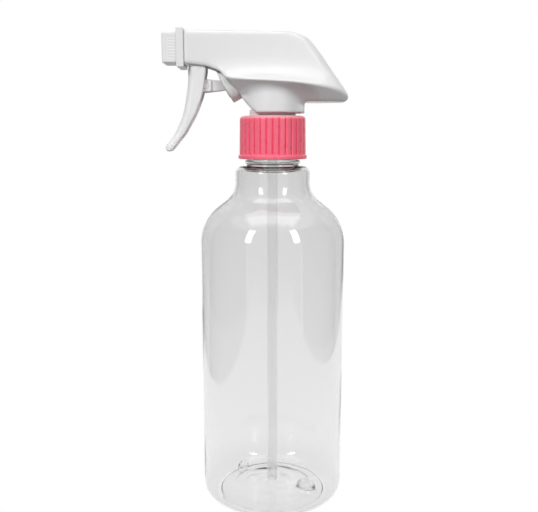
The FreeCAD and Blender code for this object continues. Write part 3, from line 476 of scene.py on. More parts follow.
def make_closure():
    """The ribbed closure: V grooves that run out in arches through the top's rounding."""
    per_rib = 16
    turns = CAP_RIBS * per_rib
    profile = rounded([
        (CAP_BORE, CAP_BOTTOM, 0.3),
        (CAP_FLANGE, CAP_BOTTOM, 0.45),
        (CAP_FLANGE, CAP_BOTTOM + 1.7, 0.6),
        (15.92, CAP_BOTTOM + 1.9, 0.15),
        (15.65, CAP_TOP, 1.8),
        (CAP_MOUTH, CAP_TOP, 0.35),
        (CAP_MOUTH, CAP_TOP - CAP_DECK, 0.2),
        (CAP_BORE, CAP_TOP - CAP_DECK, 0.3),
    ], step=0.3, arc_points=12)
    rows = len(profile)
    angles = np.arange(turns) * 2 * math.pi / turns
    radius = np.repeat(profile[:, :1], turns, 1)
    height = np.repeat(profile[:, 1:], turns, 1)
    # One rib's outline across its pitch: a V with a rounded floor, softly met by the rib.
    pitch = 2 * math.pi / CAP_RIBS
    across = np.abs((angles + pitch / 2) % pitch - pitch / 2) * 15.8
    floor = 0.15
    soft = 0.13
    groove = CAP_GROOVE + np.sqrt((across * 1.25) ** 2 + floor ** 2) - floor
    rib = CAP_RIB - 0.10 * np.clip((across - 0.85) / 0.7, 0, 1) ** 2
    cut = -np.logaddexp(-groove / soft, -rib / soft) * soft
    # The grooves start just above the flange and fade in over half a millimetre.
    foot = CAP_BOTTOM + 1.75
    grooved = (height > foot) & (radius > CAP_MOUTH + 0.25)
    above = np.clip((height - foot) / 0.5, 0, 1)
    limit = CAP_FLANGE + (cut[None, :] - CAP_FLANGE) * above
    inner_wall = (np.abs(profile[:, :1] - CAP_BORE) < 0.02) & (profile[:, 1:] < CAP_TOP - 1.8)
    radius = np.where(grooved & ~inner_wall, np.minimum(radius, limit), radius)
    ridge = thread_ridge(height, angles[None, :], 0.95, THREAD_START - THREAD_PITCH / 2, -1,
                         THREAD_TURNS)
    radius = radius + np.where(inner_wall, ridge, 0)
    return turned("closure_shell", radius, height, turns, "closure", "closure_cap")


# ---------------------------------------------------------------- shroud

# Half widths of the shroud at its roof, waist and hips, and the hips' height, along its length.
SHROUD_PLACES = (-42.0, -30.0, -20.0, -8.0, 5.0, 15.0, 25.0, 33.0, 37.0)
SHROUD_ROOF = (7.9, 7.9, 8.2, 8.6, 8.4, 7.8, 6.2, 4.2, 3.0)
SHROUD_WAIST = (8.0, 8.1, 8.9, 9.6, 10.0, 10.2, 8.6, 6.0, 4.0)
SHROUD_HIP = (8.0, 8.6, 12.5, 16.6, 18.0, 17.6, 14.8, 9.8, 6.0)
SHROUD_HIP_HEIGHT = (209.5, 208.4, 207.4, 206.4, 205.6, 204.8, 203.4, 201.2, 199.8)
SHROUD_FRONT = -41.0
SHROUD_WALL = 1.3
SHROUD_TAIL = 36.4
SHROUD_FLOOR = 196.5
SKIRT_BOTTOM = 191.4
SKIRT_BACK = 14.9
# A bevel at 45 degrees runs where side and flanks meet.
DIAGONAL = 0.7071


def side_corners(inset, mouth):
    """The shroud's side outline, moved in by inset, with its open lower edge moved out."""
    front = SHROUD_FRONT - 4.0 + inset * 4.0
    return rounded([
        (front, 213.9 - mouth * 4, 0),
        (-30.7, 212.2 - mouth * 4, 6.0),
        (-24.7 - mouth * 2, 210.0 - mouth * 4, 4.0),
        (-18.0 - mouth * 2, 201.7 - mouth * 3, 20.0),
        (-9.6 - mouth * 3, 193.0 - mouth, 1.2),
        (-7.4 - mouth * 3, SKIRT_BOTTOM - mouth, 1.0),
        (SKIRT_BACK - inset, SKIRT_BOTTOM - mouth, 0),
        (SKIRT_BACK - inset, SHROUD_FLOOR + inset, 1.4),
        (SHROUD_TAIL - inset, SHROUD_FLOOR + inset, 2.2),
        (34.9 - inset, 200.4, 1.0),
        (22.3 - inset, 218.7 - inset * 0.6, 14.0),
        (16.4 - inset * 0.8, 226.0 - inset * 0.9, 9.0),
        (9.0 - inset * 0.2, 228.25 - inset, 14.0),
        (front, 229.2 - inset, 0),
    ], step=100.0, arc_points=7)


def girth(x, y, z, inset):
    """Signed distance, near enough, to the shroud's flanks: drawn in slightly at the roof,
    swelling below the waist to the hips, and falling in again underneath."""
    roof, waist, hip = (curve_through(x, SHROUD_PLACES, values) - inset
                        for values in (SHROUD_ROOF, SHROUD_WAIST, SHROUD_HIP))
    hip_height = curve_through(x, SHROUD_PLACES, SHROUD_HIP_HEIGHT)
    top, waist_height = 231.0, 217.5
    wall = roof + (waist - roof) * (top - z) / 17.5
    down = np.clip((waist_height - z) / (waist_height - hip_height), 0, 1.3)
    upper = wall + (hip + 0.4 - wall) * down ** 2.8
    fall = 1.4 - 0.45 * np.clip((x - 8.0) / 14.0, 0, 1)
    under = np.maximum(hip + (z - hip_height) * fall + 1.1, hip * 0.4)
    return np.abs(y) - join(upper, under, 2.2)


def shroud_field(x, y, z):
    around = np.sqrt(x * x + y * y)
    skirt = 14.4
    skirt_top = 206
    side = outline_distance(x, z, side_corners(0.0, 0.0))
    # The flanks' distance is scaled down, since they slope.
    form = join(girth(x, y, z, 0.0) * 0.8, np.maximum(around - skirt, z - skirt_top), 3.0)
    # The bevel is broad at the back of the roof and runs out towards the floor.
    bevel = 0.75 + 1.15 * np.clip((x - 6.0) / 10.0, 0, 1) * np.clip((z - 199.0) / 12.0, 0, 1)
    edge = (side + form) * DIAGONAL + bevel * np.clip((z - 197.0) / 4.0, 0, 1)
    outside = overlap(overlap(side, form, 0.8), edge, 0.9)
    inner_side = outline_distance(x, z, side_corners(SHROUD_WALL, 1.0))
    inner_skirt = np.maximum(around - (skirt - SHROUD_WALL), z - skirt_top)
    inner_form = join(girth(x, y, z, SHROUD_WALL) * 0.8, inner_skirt, 2.0)
    inner_edge = (inner_side + inner_form) * DIAGONAL + bevel * 0.8
    inside = overlap(overlap(inner_side, inner_form, 0.8), inner_edge, 0.8)
    shell = np.maximum(remove(outside, inside, 0.35), SHROUD_FRONT - x)
    port = rod_distance(y, z - BARREL_HEIGHT, x, 5.0, SHROUD_FRONT - 3, SHROUD_FRONT + 3)
    return remove(shell, port, 0.2)


def make_shroud():
    return shape("shroud_shell", shroud_field, (-41, -18.2, 191), (36, 18.2, 230), 0.42,
                 "sprayer", "shroud")


# ---------------------------------------------------------------- trigger and linkage

def trigger_spine():
    """The trigger's side outline, from the top of its front down to the toe and back up."""
    front = rounded([
        (-38.9, 214.8, 0),
        (-39.7, 211.0, 6.0),
        (-39.5, 206.3, 40.0),
        (-42.2, 191.0, 30.0),
        (-46.4, 181.8, 20.0),
        (-51.2, 175.8, 0),
    ], step=3.0, arc_points=7, closed=False)
    back = rounded([
        (-47.0, 174.9, 0),
        (-41.6, 181.6, 14.0),
        (-36.2, 191.0, 40.0),
        (-32.7, 199.8, 30.0),
        (-31.0, 211.2, 4.0),
        (-31.2, 214.3, 0),
    ], step=3.0, arc_points=7, closed=False)
    return np.concatenate([front, arc(-49.3, 175.2, 1.75, math.pi * 1.1, math.pi * 1.75, 6), back])


TRIGGER_OUTLINE = trigger_spine()
# How far the channel in the trigger's back is moved against the outline, and its side walls.
CHANNEL_SHIFT = (1.6, 0.9)
CHANNEL_WALL = 1.2
CHANNEL_FOOT = 180.0


def trigger_field(x, y, z):
    side = outline_distance(x, z, TRIGGER_OUTLINE)
    width = curve_through(z, (173, 180, 190, 200, 207, 213), (4.5, 4.9, 5.5, 5.75, 5.85, 6.2))
    front = curve_through(z, (173, 176, 180, 185, 189, 195, 200, 206, 215),
                          (-51.8, -51.2, -47.9, -44.8, -43.1, -41.6, -40.6, -39.7, -39.2))
    crown = width * (1 - 0.42 * np.clip((front + 3.2 - x) / 3.2, 0, 1) ** 2.2)
    body = overlap(side, (np.abs(y) - crown) * 0.75, 0.8)
    back_open = outline_distance(x, z, TRIGGER_OUTLINE + np.array(CHANNEL_SHIFT))
    hollow = overlap(back_open, (np.abs(y) - crown + CHANNEL_WALL) * 0.75, 0.5)
    body = remove(body, overlap(hollow, CHANNEL_FOOT - z, 0.8), 0.3)
    # Two ears reach up to the pump's pivot pins, and two lugs back to the rod's trunnions.
    px, pz = x - PIVOT[0], z - PIVOT[1]
    ear = np.sqrt(px * px + np.maximum(pz, 0) ** 2) - 3.2
    ear = np.maximum(ear, 212.9 - z)
    ears = overlap(ear, np.abs(np.abs(y) - 5.43) - 0.77, 0.25)
    body = join(body, ears, 0.3)
    lx, lz = x - ROD_PIVOT[0], z - ROD_PIVOT[1]
    lug = block_distance(x + 33.65, 0.0, lz, (4.75, 1.0, 2.6), 0.7)
    lugs = overlap(lug, np.abs(np.abs(y) - 3.15) - 0.5, 0.2)
    body = join(body, lugs, 0.3)
    body = remove(body, np.maximum(np.sqrt(lx * lx + lz * lz) - 1.56, np.abs(y) - 4.35), 0.15)
    return remove(body, np.sqrt(px * px + pz * pz) - 1.66, 0.15)


def make_trigger():
    return shape("trigger_lever", trigger_field, (-52, -6.3, 173), (-28.5, 6.3, 221.6), 0.3,
                 "trigger", "trigger")


def rod_field(x, y, z):
    """A flat arm, tapered from its trunnions to the rounded end in the piston's pocket."""
    lx, lz = x - ROD_PIVOT[0], z - ROD_PIVOT[1]
    inserted = 1.03
    end_x = PUMP_MOUTH[0] + inserted * PUMP_AXIS[0]
    end_z = PUMP_MOUTH[1] + inserted * PUMP_AXIS[1]
    span = end_x - ROD_PIVOT[0]
    t = np.clip(lx / span, 0, 1)
    middle = ROD_PIVOT[1] + (end_z - ROD_PIVOT[1]) * t
    first, last = 3.1, 2.1
    radius = first + (last - first) * t
    arm = np.sqrt((lx - t * span) ** 2 + (z - middle) ** 2) - radius
    arm = overlap(arm, np.abs(y) - 2.35, 0.5)
    trunnion = overlap(np.sqrt(lx * lx + lz * lz) - 1.5, np.abs(y) - 3.7, 0.25)
    return join(arm, trunnion, 0.2)


def make_rod():
    return shape("piston_rod_arm", rod_field, (-34.7, -4.5, 200.7), (-19.4, 4.5, 207.3), 0.22,
                 "rod", "piston_rod")


# ---------------------------------------------------------------- pump

def pump_field(x, y, z):
    around = np.sqrt(x * x + y * y)
    # Flange, collar, plug and riser, all round the bottle's axis.
    stem = overlap(around - 13.2, np.abs(z - 187.7) - 0.8, 0.3)
    stem = join(stem, overlap(around - 11.0, np.abs(z - 190.0) - 3.0, 0.4), 0.2)
    stem = join(stem, overlap(around - 8.2, np.abs(z - 184.0) - 4.0, 0.3))
    stem = join(stem, overlap(around - 5.2, np.abs(z - 208.6) - 17.6, 0.5), 0.8)
    # The discharge barrel, with the groove that the knob snaps into.
    barrel = rod_distance(y, z - BARREL_HEIGHT, x, 4.4, -47.0, 0.0, 0.3)
    groove = np.maximum(3.6 - np.sqrt(y * y + (z - BARREL_HEIGHT) ** 2), np.abs(x + 45.55) - 0.55)
    barrel = remove(barrel, groove, 0.1)
    stem = join(stem, barrel, 0.8)
    # The tilted cylinder, its thicker mouth and its nose.
    a, across = along_pump(x, z)
    reach = np.sqrt(across ** 2 + y * y)
    chamber = overlap(reach - 7.4, np.abs(a - 9.25) - 9.25, 0.6)
    chamber = join(chamber, overlap(reach - 8.5, np.abs(a - 2.35) - 2.35, 0.4), 0.4)
    chamber = join(chamber, overlap(reach - 3.0, np.abs(a - 20.0) - 5.0), 0.6)
    body = join(stem, chamber, 0.8)
    upper_web = np.maximum(np.abs(x + 11.5) - 7.5, np.abs(z - 214.0) - 4.0)
    lower_web = np.maximum(np.abs(x + 6.0) - 3.0, np.abs(z - 199.0) - 7.0)
    # Thin webs stiffen the riser; the pins carry the trigger.
    webs = np.maximum(np.minimum(upper_web, lower_web), np.abs(y) - 0.8)
    body = join(body, webs, 0.5)
    px, pz = x - PIVOT[0], z - PIVOT[1]
    pins = overlap(np.sqrt(px * px + pz * pz) - 1.6, np.abs(y) - 6.1, 0.3)
    body = join(body, pins, 0.2)
    # The cylinder's bore, its counterbore and the port in its nose.
    bores = overlap(reach - 6.2, np.maximum(-a - 1, a - 17.0), 0.0)
    bores = join(bores, overlap(reach - 7.6, np.maximum(-a - 1, a - 1.2), 0.0))
    bores = join(bores, overlap(reach - 1.3, np.maximum(16 - a, a - 25.8), 0.0))
    # The riser's bore from the plug up: retainer's seat, ball's cage, throat and passage.
    bores = join(bores, np.maximum(around - 6.0, z - 186.0))
    bores = join(bores, np.maximum(around - 2.6, z - 188.4))
    bores = join(bores, np.maximum(around - 1.6, np.abs(z - 189.2) - 1.0))
    bores = join(bores, np.maximum(around - 2.6, np.abs(z - 205.5) - 15.5))
    # The barrel's bore, wider ahead of the outlet valve's seat.
    outlet = np.sqrt(y * y + (z - BARREL_HEIGHT) ** 2)
    bores = join(bores, np.maximum(outlet - 1.7, x))
    bores = join(bores, np.maximum(outlet - 2.5, x + 37.0))
    return remove(body, bores, 0.15)


def make_pump():
    return shape("pump_moulding", pump_field, (-47.2, -13.4, 180), (13.4, 13.4, 226.4), 0.4,
                 "sprayer", "pump_body")


def make_piston():
    profile = rounded([
        (4.4, 3.5, 0.4), (4.4, -0.4, 0.3), (5.6, -0.4, 0.3), (5.6, 1.6, 0.2), (6.17, 1.6, 0.1),
        (5.6, 2.7, 0.3), (5.6, 6.4, 0.3), (6.17, 7.5, 0.1), (4.8, 7.5, 0.2), (4.8, 4.5, 0.3),
    ], step=0.5, arc_points=4)
    outer = np.concatenate([[(0.0, 3.5)], profile, [(0.0, 4.5)]])
    return turned("piston_cup", outer[:, :1], outer[:, 1:], 96, "piston", "piston",
                  pump_frame(), closed=False)


def make_coil(name, radius, wire, low, high, turns, axes, body, replaced):
    """A compression spring with closed ends, as a round wire swept along its helix."""
    around = 14
    steps = int(turns * 36)
    t = np.linspace(0, 1, steps + 1)
    # The first and last three quarters of a turn lie flat.
    dead = 0.75 / turns
    lift = np.clip((t - dead) / (1 - 2 * dead), 0, 1)
    rise = wire / 2 + low + lift * (high - low - 2 * wire) + wire * 0.5 * (
        np.clip(t / dead, 0, 1) + np.clip((t - 1 + dead) / dead, 0, 1))
    angle = t * turns * 2 * math.pi
    centre = np.stack([radius * np.cos(angle), radius * np.sin(angle), rise], 1)
    outward = np.stack([np.cos(angle), np.sin(angle), 0 * angle], 1)
    up = np.array([0.0, 0.0, 1.0])
    section = np.arange(around) * 2 * math.pi / around
    points = (centre[:, None] + wire / 2 * (np.cos(section)[None, :, None] * outward[:, None]
                                            + np.sin(section)[None, :, None] * up)).reshape(-1, 3)
    faces = []
    for step in range(steps):
        for side in range(around):
            after = (side + 1) % around
            low_row, high_row = step * around, (step + 1) * around
            faces.append((low_row + side, low_row + after, high_row + after, high_row + side))
    faces.append(tuple(range(around)))
    faces.append(tuple(reversed(range(steps * around, (steps + 1) * around))))
    faces = [tuple(reversed(face)) for face in faces]
    origin, side_axis, up_axis, along = (np.array(v, float) for v in axes)
    points = origin + points @ np.stack([side_axis, up_axis, along])
    return mesh_object(name, points, faces, body, replaced)


# ---------------------------------------------------------------- nozzle

def knob_field(x, y, z):
    up = z - BARREL_HEIGHT
    grip = block_distance(x + 47.2, y, up, (4.1, 7.0, 7.0), 0.9)
    rib_pitch = 1.3
    ribs = 0.045 * (1 - np.cos(up * 2 * math.pi / rib_pitch))
    ribbed = np.maximum(np.abs(x + 46.7) - 1.9, np.abs(up) - 5.2)
    grip = grip + ribs * np.clip(-ribbed / 0.3, 0, 1)
    flange = block_distance(x + 42.725, y, up, (1.675, 8.8, 8.8), 0.22)
    body = join(grip, flange, 0.35)
    outlet = np.sqrt(y * y + up * up)
    bore = np.maximum(outlet - 4.5, -48.0 - x)
    bore = join(bore, np.maximum(outlet - 3.0, -50.6 - x))
    bore = join(bore, np.maximum(outlet - 2.3, x + 50.0))
    return remove(body, bore, 0.25)


def make_knob():
    return shape("nozzle_grip", knob_field, (-51.4, -8.9, 212.1), (-41, 8.9, 229.9), 0.2,
                 "nozzle", "nozzle_knob")


def make_orifice():
    profile = rounded([
        (0.4, 48.0, 0.05), (2.98, 48.0, 0.2), (2.98, 50.6, 0.3), (1.2, 50.6, 0.2),
        (0.4, 49.8, 0.1),
    ], step=0.3, arc_points=4)
    return turned("orifice_disc", profile[:, :1], profile[:, 1:], 72, "nozzle", "orifice_insert",
                  barrel_frame())


def make_dip_tube():
    bore, outside, foot, top = 1.75, 2.45, 4.8, 179.5
    profile = rounded([
        (bore, foot, 0.15), (outside, foot, 0.2), (outside, top, 0.2), (bore, top, 0.15),
    ], step=6.0, arc_points=4)
    return turned("dip_tube_straw", profile[:, :1], profile[:, 1:], 64, "sprayer", "dip_tube")


# ---------------------------------------------------------------- materials

def srgb(*levels):
    """Linear colour from levels of 0 to 255."""
    values = [level / 255 for level in levels]
    return [v / 12.92 if v <= 0.04045 else ((v + 0.055) / 1.055) ** 2.4 for v in values] + [1.0]


def new_material(name):
    material = bpy.data.materials.new(name)
    material.use_nodes = True
    tree = material.node_tree
    shader = next(node for node in tree.nodes if node.type == "BSDF_PRINCIPLED")
    return material, tree, shader


def fill(tree, node, inputs):
    """Sets each named input of a node to a constant, or links it to another node's output."""
    for key, value in inputs.items():
        if isinstance(value, bpy.types.NodeSocket):
            tree.links.new(value, node.inputs[key])
        else:
            node.inputs[key].default_value = value
    return node


def add_node(tree, kind, inputs):
    return fill(tree, tree.nodes.new("ShaderNode" + kind), inputs)


def calculate(tree, operation, *values):
    """A Math node; each value is a number or a socket."""
    node = tree.nodes.new("ShaderNodeMath")
    node.operation = operation
    return fill(tree, node, dict(enumerate(values))).outputs["Value"]


def step_at(tree, source, low, high):
    """Rises smoothly from 0 to 1 between two values, or falls if they are given the other way."""
    node = add_node(tree, "MapRange", {
        "Value": source, "From Min": min(low, high), "From Max": max(low, high),
        "To Min": float(low > high), "To Max": float(low < high)})
    node.interpolation_type = "SMOOTHSTEP"
    return node.outputs["Result"]


def split_place(tree, output):
    """The three parts of a texture coordinate."""
    place = tree.nodes.new("ShaderNodeTexCoord")
    return add_node(tree, "SeparateXYZ", {"Vector": place.outputs[output]}).outputs


def noise(tree, scale, detail=3.0, stretch=(1, 1, 1)):
    """Noise in the object's own coordinates, with its scale per metre."""
    place = tree.nodes.new("ShaderNodeTexCoord")
    mapping = add_node(tree, "Mapping", {"Vector": place.outputs["Object"], "Scale": stretch})
    return add_node(tree, "TexNoise", {"Vector": mapping.outputs["Vector"], "Scale": scale,
                                       "Detail": detail}).outputs["Fac"]


def ramp(tree, source, low, high, colours):
    """Maps a factor between two colours."""
    stops = add_node(tree, "ValToRGB", {"Fac": source})
    for element, place, colour in zip(stops.color_ramp.elements, (low, high), colours):
        element.position = place
        element.color = colour
    return stops.outputs["Color"]


def vary(tree, source, low, high):
    """Maps a noise factor, which mostly stays between 0.3 and 0.7, to a plain number."""
    return add_node(tree, "MapRange", {"Value": source, "From Min": 0.3, "From Max": 0.7,
                                       "To Min": low, "To Max": high}).outputs["Result"]


def bump(tree, height, strength, distance):
    """A fine relief, for a shader's normal."""
    return add_node(tree, "Bump", {"Height": height, "Strength": strength,
                                   "Distance": distance}).outputs["Normal"]


def uncoloured_plastic(name, roughness, grain=0.08, subsurface=0.0):
    """Injection moulded plastic without its colour: uneven gloss and a fine skin."""
    material, tree, shader = new_material(name)
    fill(tree, shader, {
        "Roughness": vary(tree, noise(tree, 260.0, 5.0), roughness * 0.92, roughness * 1.1),
        "Normal": bump(tree, noise(tree, 2600.0, 2.0), grain, 0.0001),
        "IOR": 1.49,
        "Subsurface Weight": subsurface,
        "Subsurface Radius": (0.002, 0.002, 0.002),
        "Subsurface Scale": 1.0,
    })
    return material, tree, shader


def moulded_plastic(name, colour, shade, roughness, grain=0.08, subsurface=0.0):
    """Injection moulded plastic, with faint flow marks in its colour."""
    material, tree, shader = uncoloured_plastic(name, roughness, grain, subsurface)
    flow = noise(tree, 90.0, 4.0, (1, 1, 0.5))
    fill(tree, shader, {"Base Color": ramp(tree, flow, 0.2, 0.8, (shade, colour))})
    return material


def painted_light_closure_plastic(name):
    """Pink polypropylene with painted light: painted shade makes it deeper pink in the grooves, a
    painted highlight makes it paler on the ribs, and a pale painted highlight runs round the top
    edge.
    """
    material, tree, shader = uncoloured_plastic(name, 0.28)
    x, y, z = split_place(tree, "Object")
    across = calculate(tree, "ADD", calculate(tree, "MULTIPLY", x, x),
                       calculate(tree, "MULTIPLY", y, y))
    radius = calculate(tree, "SQRT", across)
    # Painted shade and highlight by radius: deeper pink down in the grooves, paler out on the
    # ribs.
    rib = step_at(tree, radius, CAP_GROOVE * MM, 15.75 * MM)
    # Painted highlight by height: pale round the top's rounding.
    crown = step_at(tree, z, (CAP_TOP - 2.0) * MM, (CAP_TOP - 0.4) * MM)
    mix = tree.nodes.new("ShaderNodeMix")
    mix.data_type = "RGBA"
    fill(tree, mix, {
        # The top edge's painted highlight lies over the grooves' painted shade and the ribs'
        # painted highlight.
        "Factor": crown,
        "A": ramp(tree, rib, 0.0, 1.0, (srgb(250, 70, 102), srgb(255, 114, 138))),
        "B": srgb(255, 168, 176),
    })
    fill(tree, shader, {"Base Color": mix.outputs["Result"]})
    return material


def clear_wall(name):
    """Blown PET: clear and faintly grey, palest just above the heel and a little greyer towards
    the base and towards the top.
    """
    material, tree, shader = new_material(name)
    _, _, z = split_place(tree, "Object")
    height = add_node(tree, "MapRange", {"Value": z, "From Min": 0.0, "From Max": 0.17})
    tint = ramp(tree, height.outputs["Result"], 0.0, 1.0,
                (srgb(235, 235, 235), srgb(234, 234, 234)))
    # Palest just above the heel.
    thin = tint.node.color_ramp.elements.new(0.1)
    thin.color = srgb(244, 244, 244)
    fill(tree, shader, {
        "Base Color": tint,
        "Transmission Weight": 1.0,
        "Roughness": 0.015,
        "IOR": 1.5,
        "Normal": bump(tree, noise(tree, 45.0, 2.0, (1, 1, 0.25)), 0.12, 0.0006),
    })
    return material


def milky_plastic(name, colour, transmission, roughness):
    """Unpigmented polyethylene: lets light through and scatters it."""
    material, tree, shader = new_material(name)
    streak = noise(tree, 300.0, 3.0, (1, 1, 0.1))
    fill(tree, shader, {
        "Base Color": ramp(tree, streak, 0.3, 0.7, (srgb(*colour[0]), srgb(*colour[1]))),
        "Transmission Weight": transmission,
        "Roughness": roughness,
        # Far below the real 1.5: light scattered inside the wall isn't bent as by a lens.
        "IOR": 1.08,
    })
    return material


def drawn_steel(name, roughness):
    """Stainless wire or ball, with fine draw marks."""
    material, tree, shader = new_material(name)
    marks = noise(tree, 1500.0, 3.0, (1, 1, 0.3))
    fill(tree, shader, {
        "Base Color": ramp(tree, marks, 0.3, 0.7, (srgb(176, 177, 180), srgb(205, 206, 208))),
        "Roughness": vary(tree, marks, roughness * 0.7, roughness * 1.4),
        "Metallic": 1.0,
        "Normal": bump(tree, marks, 0.1, 0.00005),
    })
    return material


def dress(item, material):
    item.data.materials.clear()
    item.data.materials.append(material)


# ---------------------------------------------------------------- stage, light and camera

# How bright the surround and the floor are as diffuse light, where 1 is the white they show.
SKY_LIGHT = 0.32
FLOOR_LIGHT = 0.2
# What mirrors and clear walls see: a dark room, a white sweep and a pale ceiling. Through a
# clear wall the room is never darker than CLEAR_ROOM.
ROOM = 0.03
CLEAR_ROOM = 0.6
# The room's lit walls: start and end in degrees from straight ahead of the bottle's front,
# and level.
WALLS = ((-41, 43, 0.7), (43, 47, 1.2), (117, 153, 0.6), (-153, -117, 0.6),
         (153, 190, 1.0), (-190, -153, 1.0))
WALL_BLUR = 2
CEILING = 0.85
CEILING_EDGE = (0.6, 0.75)
# The white sweep in the floor's plane, as where each of its soft edges starts and ends. The
# left edge leans with the distance by the slant.
SWEEP_SLANT = 0.147
SWEEP_LEFT = (-0.215, -0.195)
SWEEP_RIGHT = (0.262, 0.246)
SWEEP_FRONT = (-0.52, -0.40)
FLOOR_HALF = 6.0

# Name, place, what it is aimed at, size, power, and whether it is soft.
LIGHTS = (
    ("key_light", (-0.7, -0.95, 0.85), (0, 0, 0.2), (0.4, 0.4), 9.1, True),
    ("fill_light", (0.5, -1.05, 0.85), (0, 0, 0.2), (0.5, 0.5), 6.4, True),
    ("side_light", (1.0, 0.3, 0.42), (0, 0, 0.2), (0.5, 0.5), 2.2, True),
    ("back_light", (-0.1, 1.1, 0.7), (0, 0, 0.2), (0.5, 0.5), 6.0, True),
    ("top_light", (0.0, -0.1, 0.95), (0, 0, 0.2), (0.9, 0.6), 3.2, False),
    ("left_strip", (-0.42, -0.52, 0.5), (0, 0, 0.15), (0.14, 0.4), 1.2, False),
    ("right_strip", (0.42, -0.52, 0.5), (0, 0, 0.15), (0.14, 0.4), 1.2, False),
)

CAMERA_PLACE = (-0.00174, -0.343, 0.181)
CAMERA_PITCH = math.radians(80.3)
CAMERA_LENS = 47.17


def path_strength(tree, diffuse, seen):
    """White to the eye, dimmer as diffuse light, and the studio to mirrors and clear walls."""
    path = tree.nodes.new("ShaderNodeLightPath").outputs
    shiny = calculate(tree, "MAXIMUM", path["Is Glossy Ray"], path["Is Transmission Ray"])
    lack = calculate(tree, "MAXIMUM", calculate(tree, "SUBTRACT", CLEAR_ROOM, seen), 0.0)
    parts = ((path["Is Camera Ray"], 1.0), (path["Is Diffuse Ray"], diffuse), (shiny, seen),
             (path["Is Transmission Ray"], lack))
    total = 0.0
    for flag, strength in parts:
        total = calculate(tree, "ADD", total, calculate(tree, "MULTIPLY", flag, strength))
    return total


def walls(tree, x, y):
    """Brightness of the surround by its azimuth from straight ahead: a pale wall in front,
    the dark room at the sides, grey wings and then a white backdrop behind."""
    azimuth = calculate(tree, "ARCTAN2", x, calculate(tree, "MULTIPLY", y, -1.0))
    seen = ROOM
    for start, end, level in WALLS:
        low = step_at(tree, azimuth, math.radians(start - WALL_BLUR),
                      math.radians(start + WALL_BLUR))
        high = step_at(tree, azimuth, math.radians(end + WALL_BLUR),
                       math.radians(end - WALL_BLUR))
        part = calculate(tree, "MULTIPLY", calculate(tree, "MULTIPLY", low, high), level)
        seen = calculate(tree, "MAXIMUM", part, seen)
    return seen


def make_floor():
    """A white floor. Its sweep is white from the left edge to the right one and behind the
    bottle; outside it, mirrors see the walls' light instead."""
    mesh = bpy.data.meshes.new("floor")
    half = FLOOR_HALF
    mesh.from_pydata([(-half, -half, 0), (half, -half, 0), (half, half, 0), (-half, half, 0)],
                     [], [(0, 1, 2, 3)])
    floor = bpy.data.objects.new("floor", mesh)
    bpy.context.scene.collection.objects.link(floor)
    material = bpy.data.materials.new("floor_white")
    material.use_nodes = True
    tree = material.node_tree
    tree.nodes.clear()
    x, y, _ = split_place(tree, "Object")
    slant = calculate(tree, "SUBTRACT", x, calculate(tree, "MULTIPLY", y, SWEEP_SLANT))
    between = calculate(tree, "MULTIPLY", step_at(tree, slant, *SWEEP_LEFT),
                        step_at(tree, x, *SWEEP_RIGHT))
    near = calculate(tree, "MULTIPLY", between, step_at(tree, y, *SWEEP_FRONT))
    beyond = calculate(tree, "MULTIPLY", walls(tree, x, y),
                       calculate(tree, "SUBTRACT", 1.0, near))
    strength = path_strength(tree, FLOOR_LIGHT, calculate(tree, "ADD", near, beyond))
    emission = add_node(tree, "Emission", {"Strength": strength})
    add_node(tree, "OutputMaterial", {"Surface": emission.outputs["Emission"]})
    mesh.materials.append(material)


def make_world():
    """The surround: a wall in front, a white backdrop behind and a ceiling, with the dark
    room to both sides."""
    world = bpy.data.worlds.new("studio")
    world.use_nodes = True
    tree = world.node_tree
    x, y, z = split_place(tree, "Generated")
    ceiling = calculate(tree, "MULTIPLY", step_at(tree, z, *CEILING_EDGE), CEILING)
    seen = calculate(tree, "MAXIMUM", ceiling, walls(tree, x, y))
    fill(tree, tree.nodes["Background"], {
        "Color": (1, 1, 1, 1), "Strength": path_strength(tree, SKY_LIGHT, seen)})
    bpy.context.scene.world = world


def softbox(name, place, aim, size, power, soft):
    """A rectangular light. A soft one gives only shading, any other only highlights."""
    light = bpy.data.lights.new(name, "AREA")
    light.shape = "RECTANGLE"
    light.size, light.size_y = size
    light.energy = power
    item = bpy.data.objects.new(name, light)
    item.location = place
    item.rotation_euler = (Vector(aim) - Vector(place)).to_track_quat("-Z", "Y").to_euler()
    bpy.context.scene.collection.objects.link(item)
    item.visible_camera = False
    item.visible_glossy = not soft
    item.visible_transmission = not soft
    item.visible_diffuse = soft


def make_camera():
    data = bpy.data.cameras.new("camera")
    data.sensor_width = 36.0
    data.lens = CAMERA_LENS
    camera = bpy.data.objects.new("camera", data)
    camera.location = CAMERA_PLACE
    camera.rotation_euler = (CAMERA_PITCH, 0, 0)
    bpy.context.scene.collection.objects.link(camera)
    bpy.context.scene.camera = camera


# ---------------------------------------------------------------- build

make_camera()
make_floor()
make_world()
for light in LIGHTS:
    softbox(*light)
bpy.context.scene.view_settings.view_transform = "Standard"

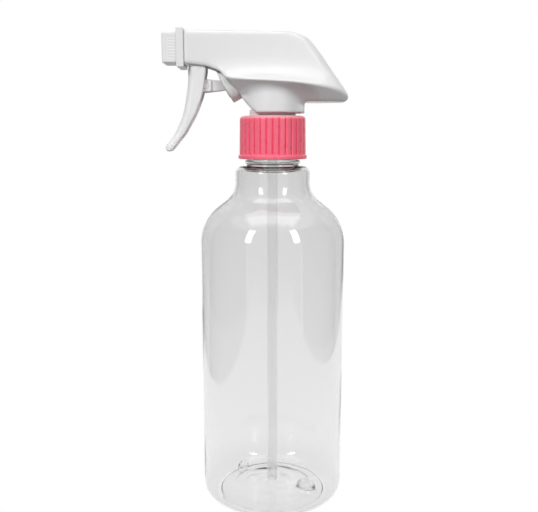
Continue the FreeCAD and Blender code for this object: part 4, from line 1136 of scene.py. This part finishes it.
pieces = {
    "bottle": make_bottle(),
    "closure": make_closure(),
    "shroud": make_shroud(),
    "trigger": make_trigger(),
    "rod": make_rod(),
    "pump": make_pump(),
    "piston": make_piston(),
    "knob": make_knob(),
    "orifice": make_orifice(),
    "tube": make_dip_tube(),
}
return_coil = make_coil("return_coil", 4.2, 0.8, 4.52, 16.98, 6.5, pump_frame(), "sprayer",
                        "return_spring")
outlet_coil = make_coil("outlet_coil", 1.7, 0.4, 38.24, 44.08, 6.5, barrel_frame(), "sprayer",
                        "outlet_spring")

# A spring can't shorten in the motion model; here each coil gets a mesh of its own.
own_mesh(return_coil)
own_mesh(outlet_coil)

white = moulded_plastic("white_gloss", srgb(240, 240, 240), srgb(238, 238, 238), 0.2,
                        subsurface=0.3)
trigger_white = moulded_plastic("trigger_plastic", srgb(248, 248, 248), srgb(246, 246, 246), 0.3,
                                subsurface=0.3)
grey_white = moulded_plastic("pump_plastic", srgb(238, 238, 238), srgb(235, 235, 235), 0.38)
knob_white = moulded_plastic("knob_plastic", srgb(235, 235, 235), srgb(233, 233, 233), 0.4)
insert_white = moulded_plastic("insert_plastic", srgb(234, 234, 232), srgb(230, 230, 229), 0.25)
pink = painted_light_closure_plastic("pink_plastic_painted_light")
gasket_rubber = moulded_plastic("seal_rubber", srgb(214, 214, 210), srgb(206, 206, 203), 0.6, 0.2)
pet = clear_wall("pet_clear")
tube_plastic = milky_plastic("tube_plastic", ((248, 248, 248), (251, 251, 251)), 1.0, 0.3)
natural = milky_plastic("natural_plastic", ((228, 228, 222), (234, 234, 229)), 0.25, 0.45)
steel = drawn_steel("steel_wire", 0.3)
ball_steel = drawn_steel("steel_ball", 0.12)

finishes = {
    "bottle": pet, "closure": pink, "shroud": white, "trigger": trigger_white, "rod": grey_white,
    "pump": grey_white, "piston": natural, "knob": knob_white, "orifice": insert_white,
    "tube": tube_plastic,
}
for key, material in finishes.items():
    dress(pieces[key], material)
for coil in (return_coil, outlet_coil):
    dress(coil, steel)
for node, material in (("closure_gasket", gasket_rubber), ("nozzle_seal", gasket_rubber),
                       ("tube_retainer", grey_white), ("swirl_insert", insert_white),
                       ("outlet_valve", natural), ("intake_ball", ball_steel)):
    dress(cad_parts[node], material)
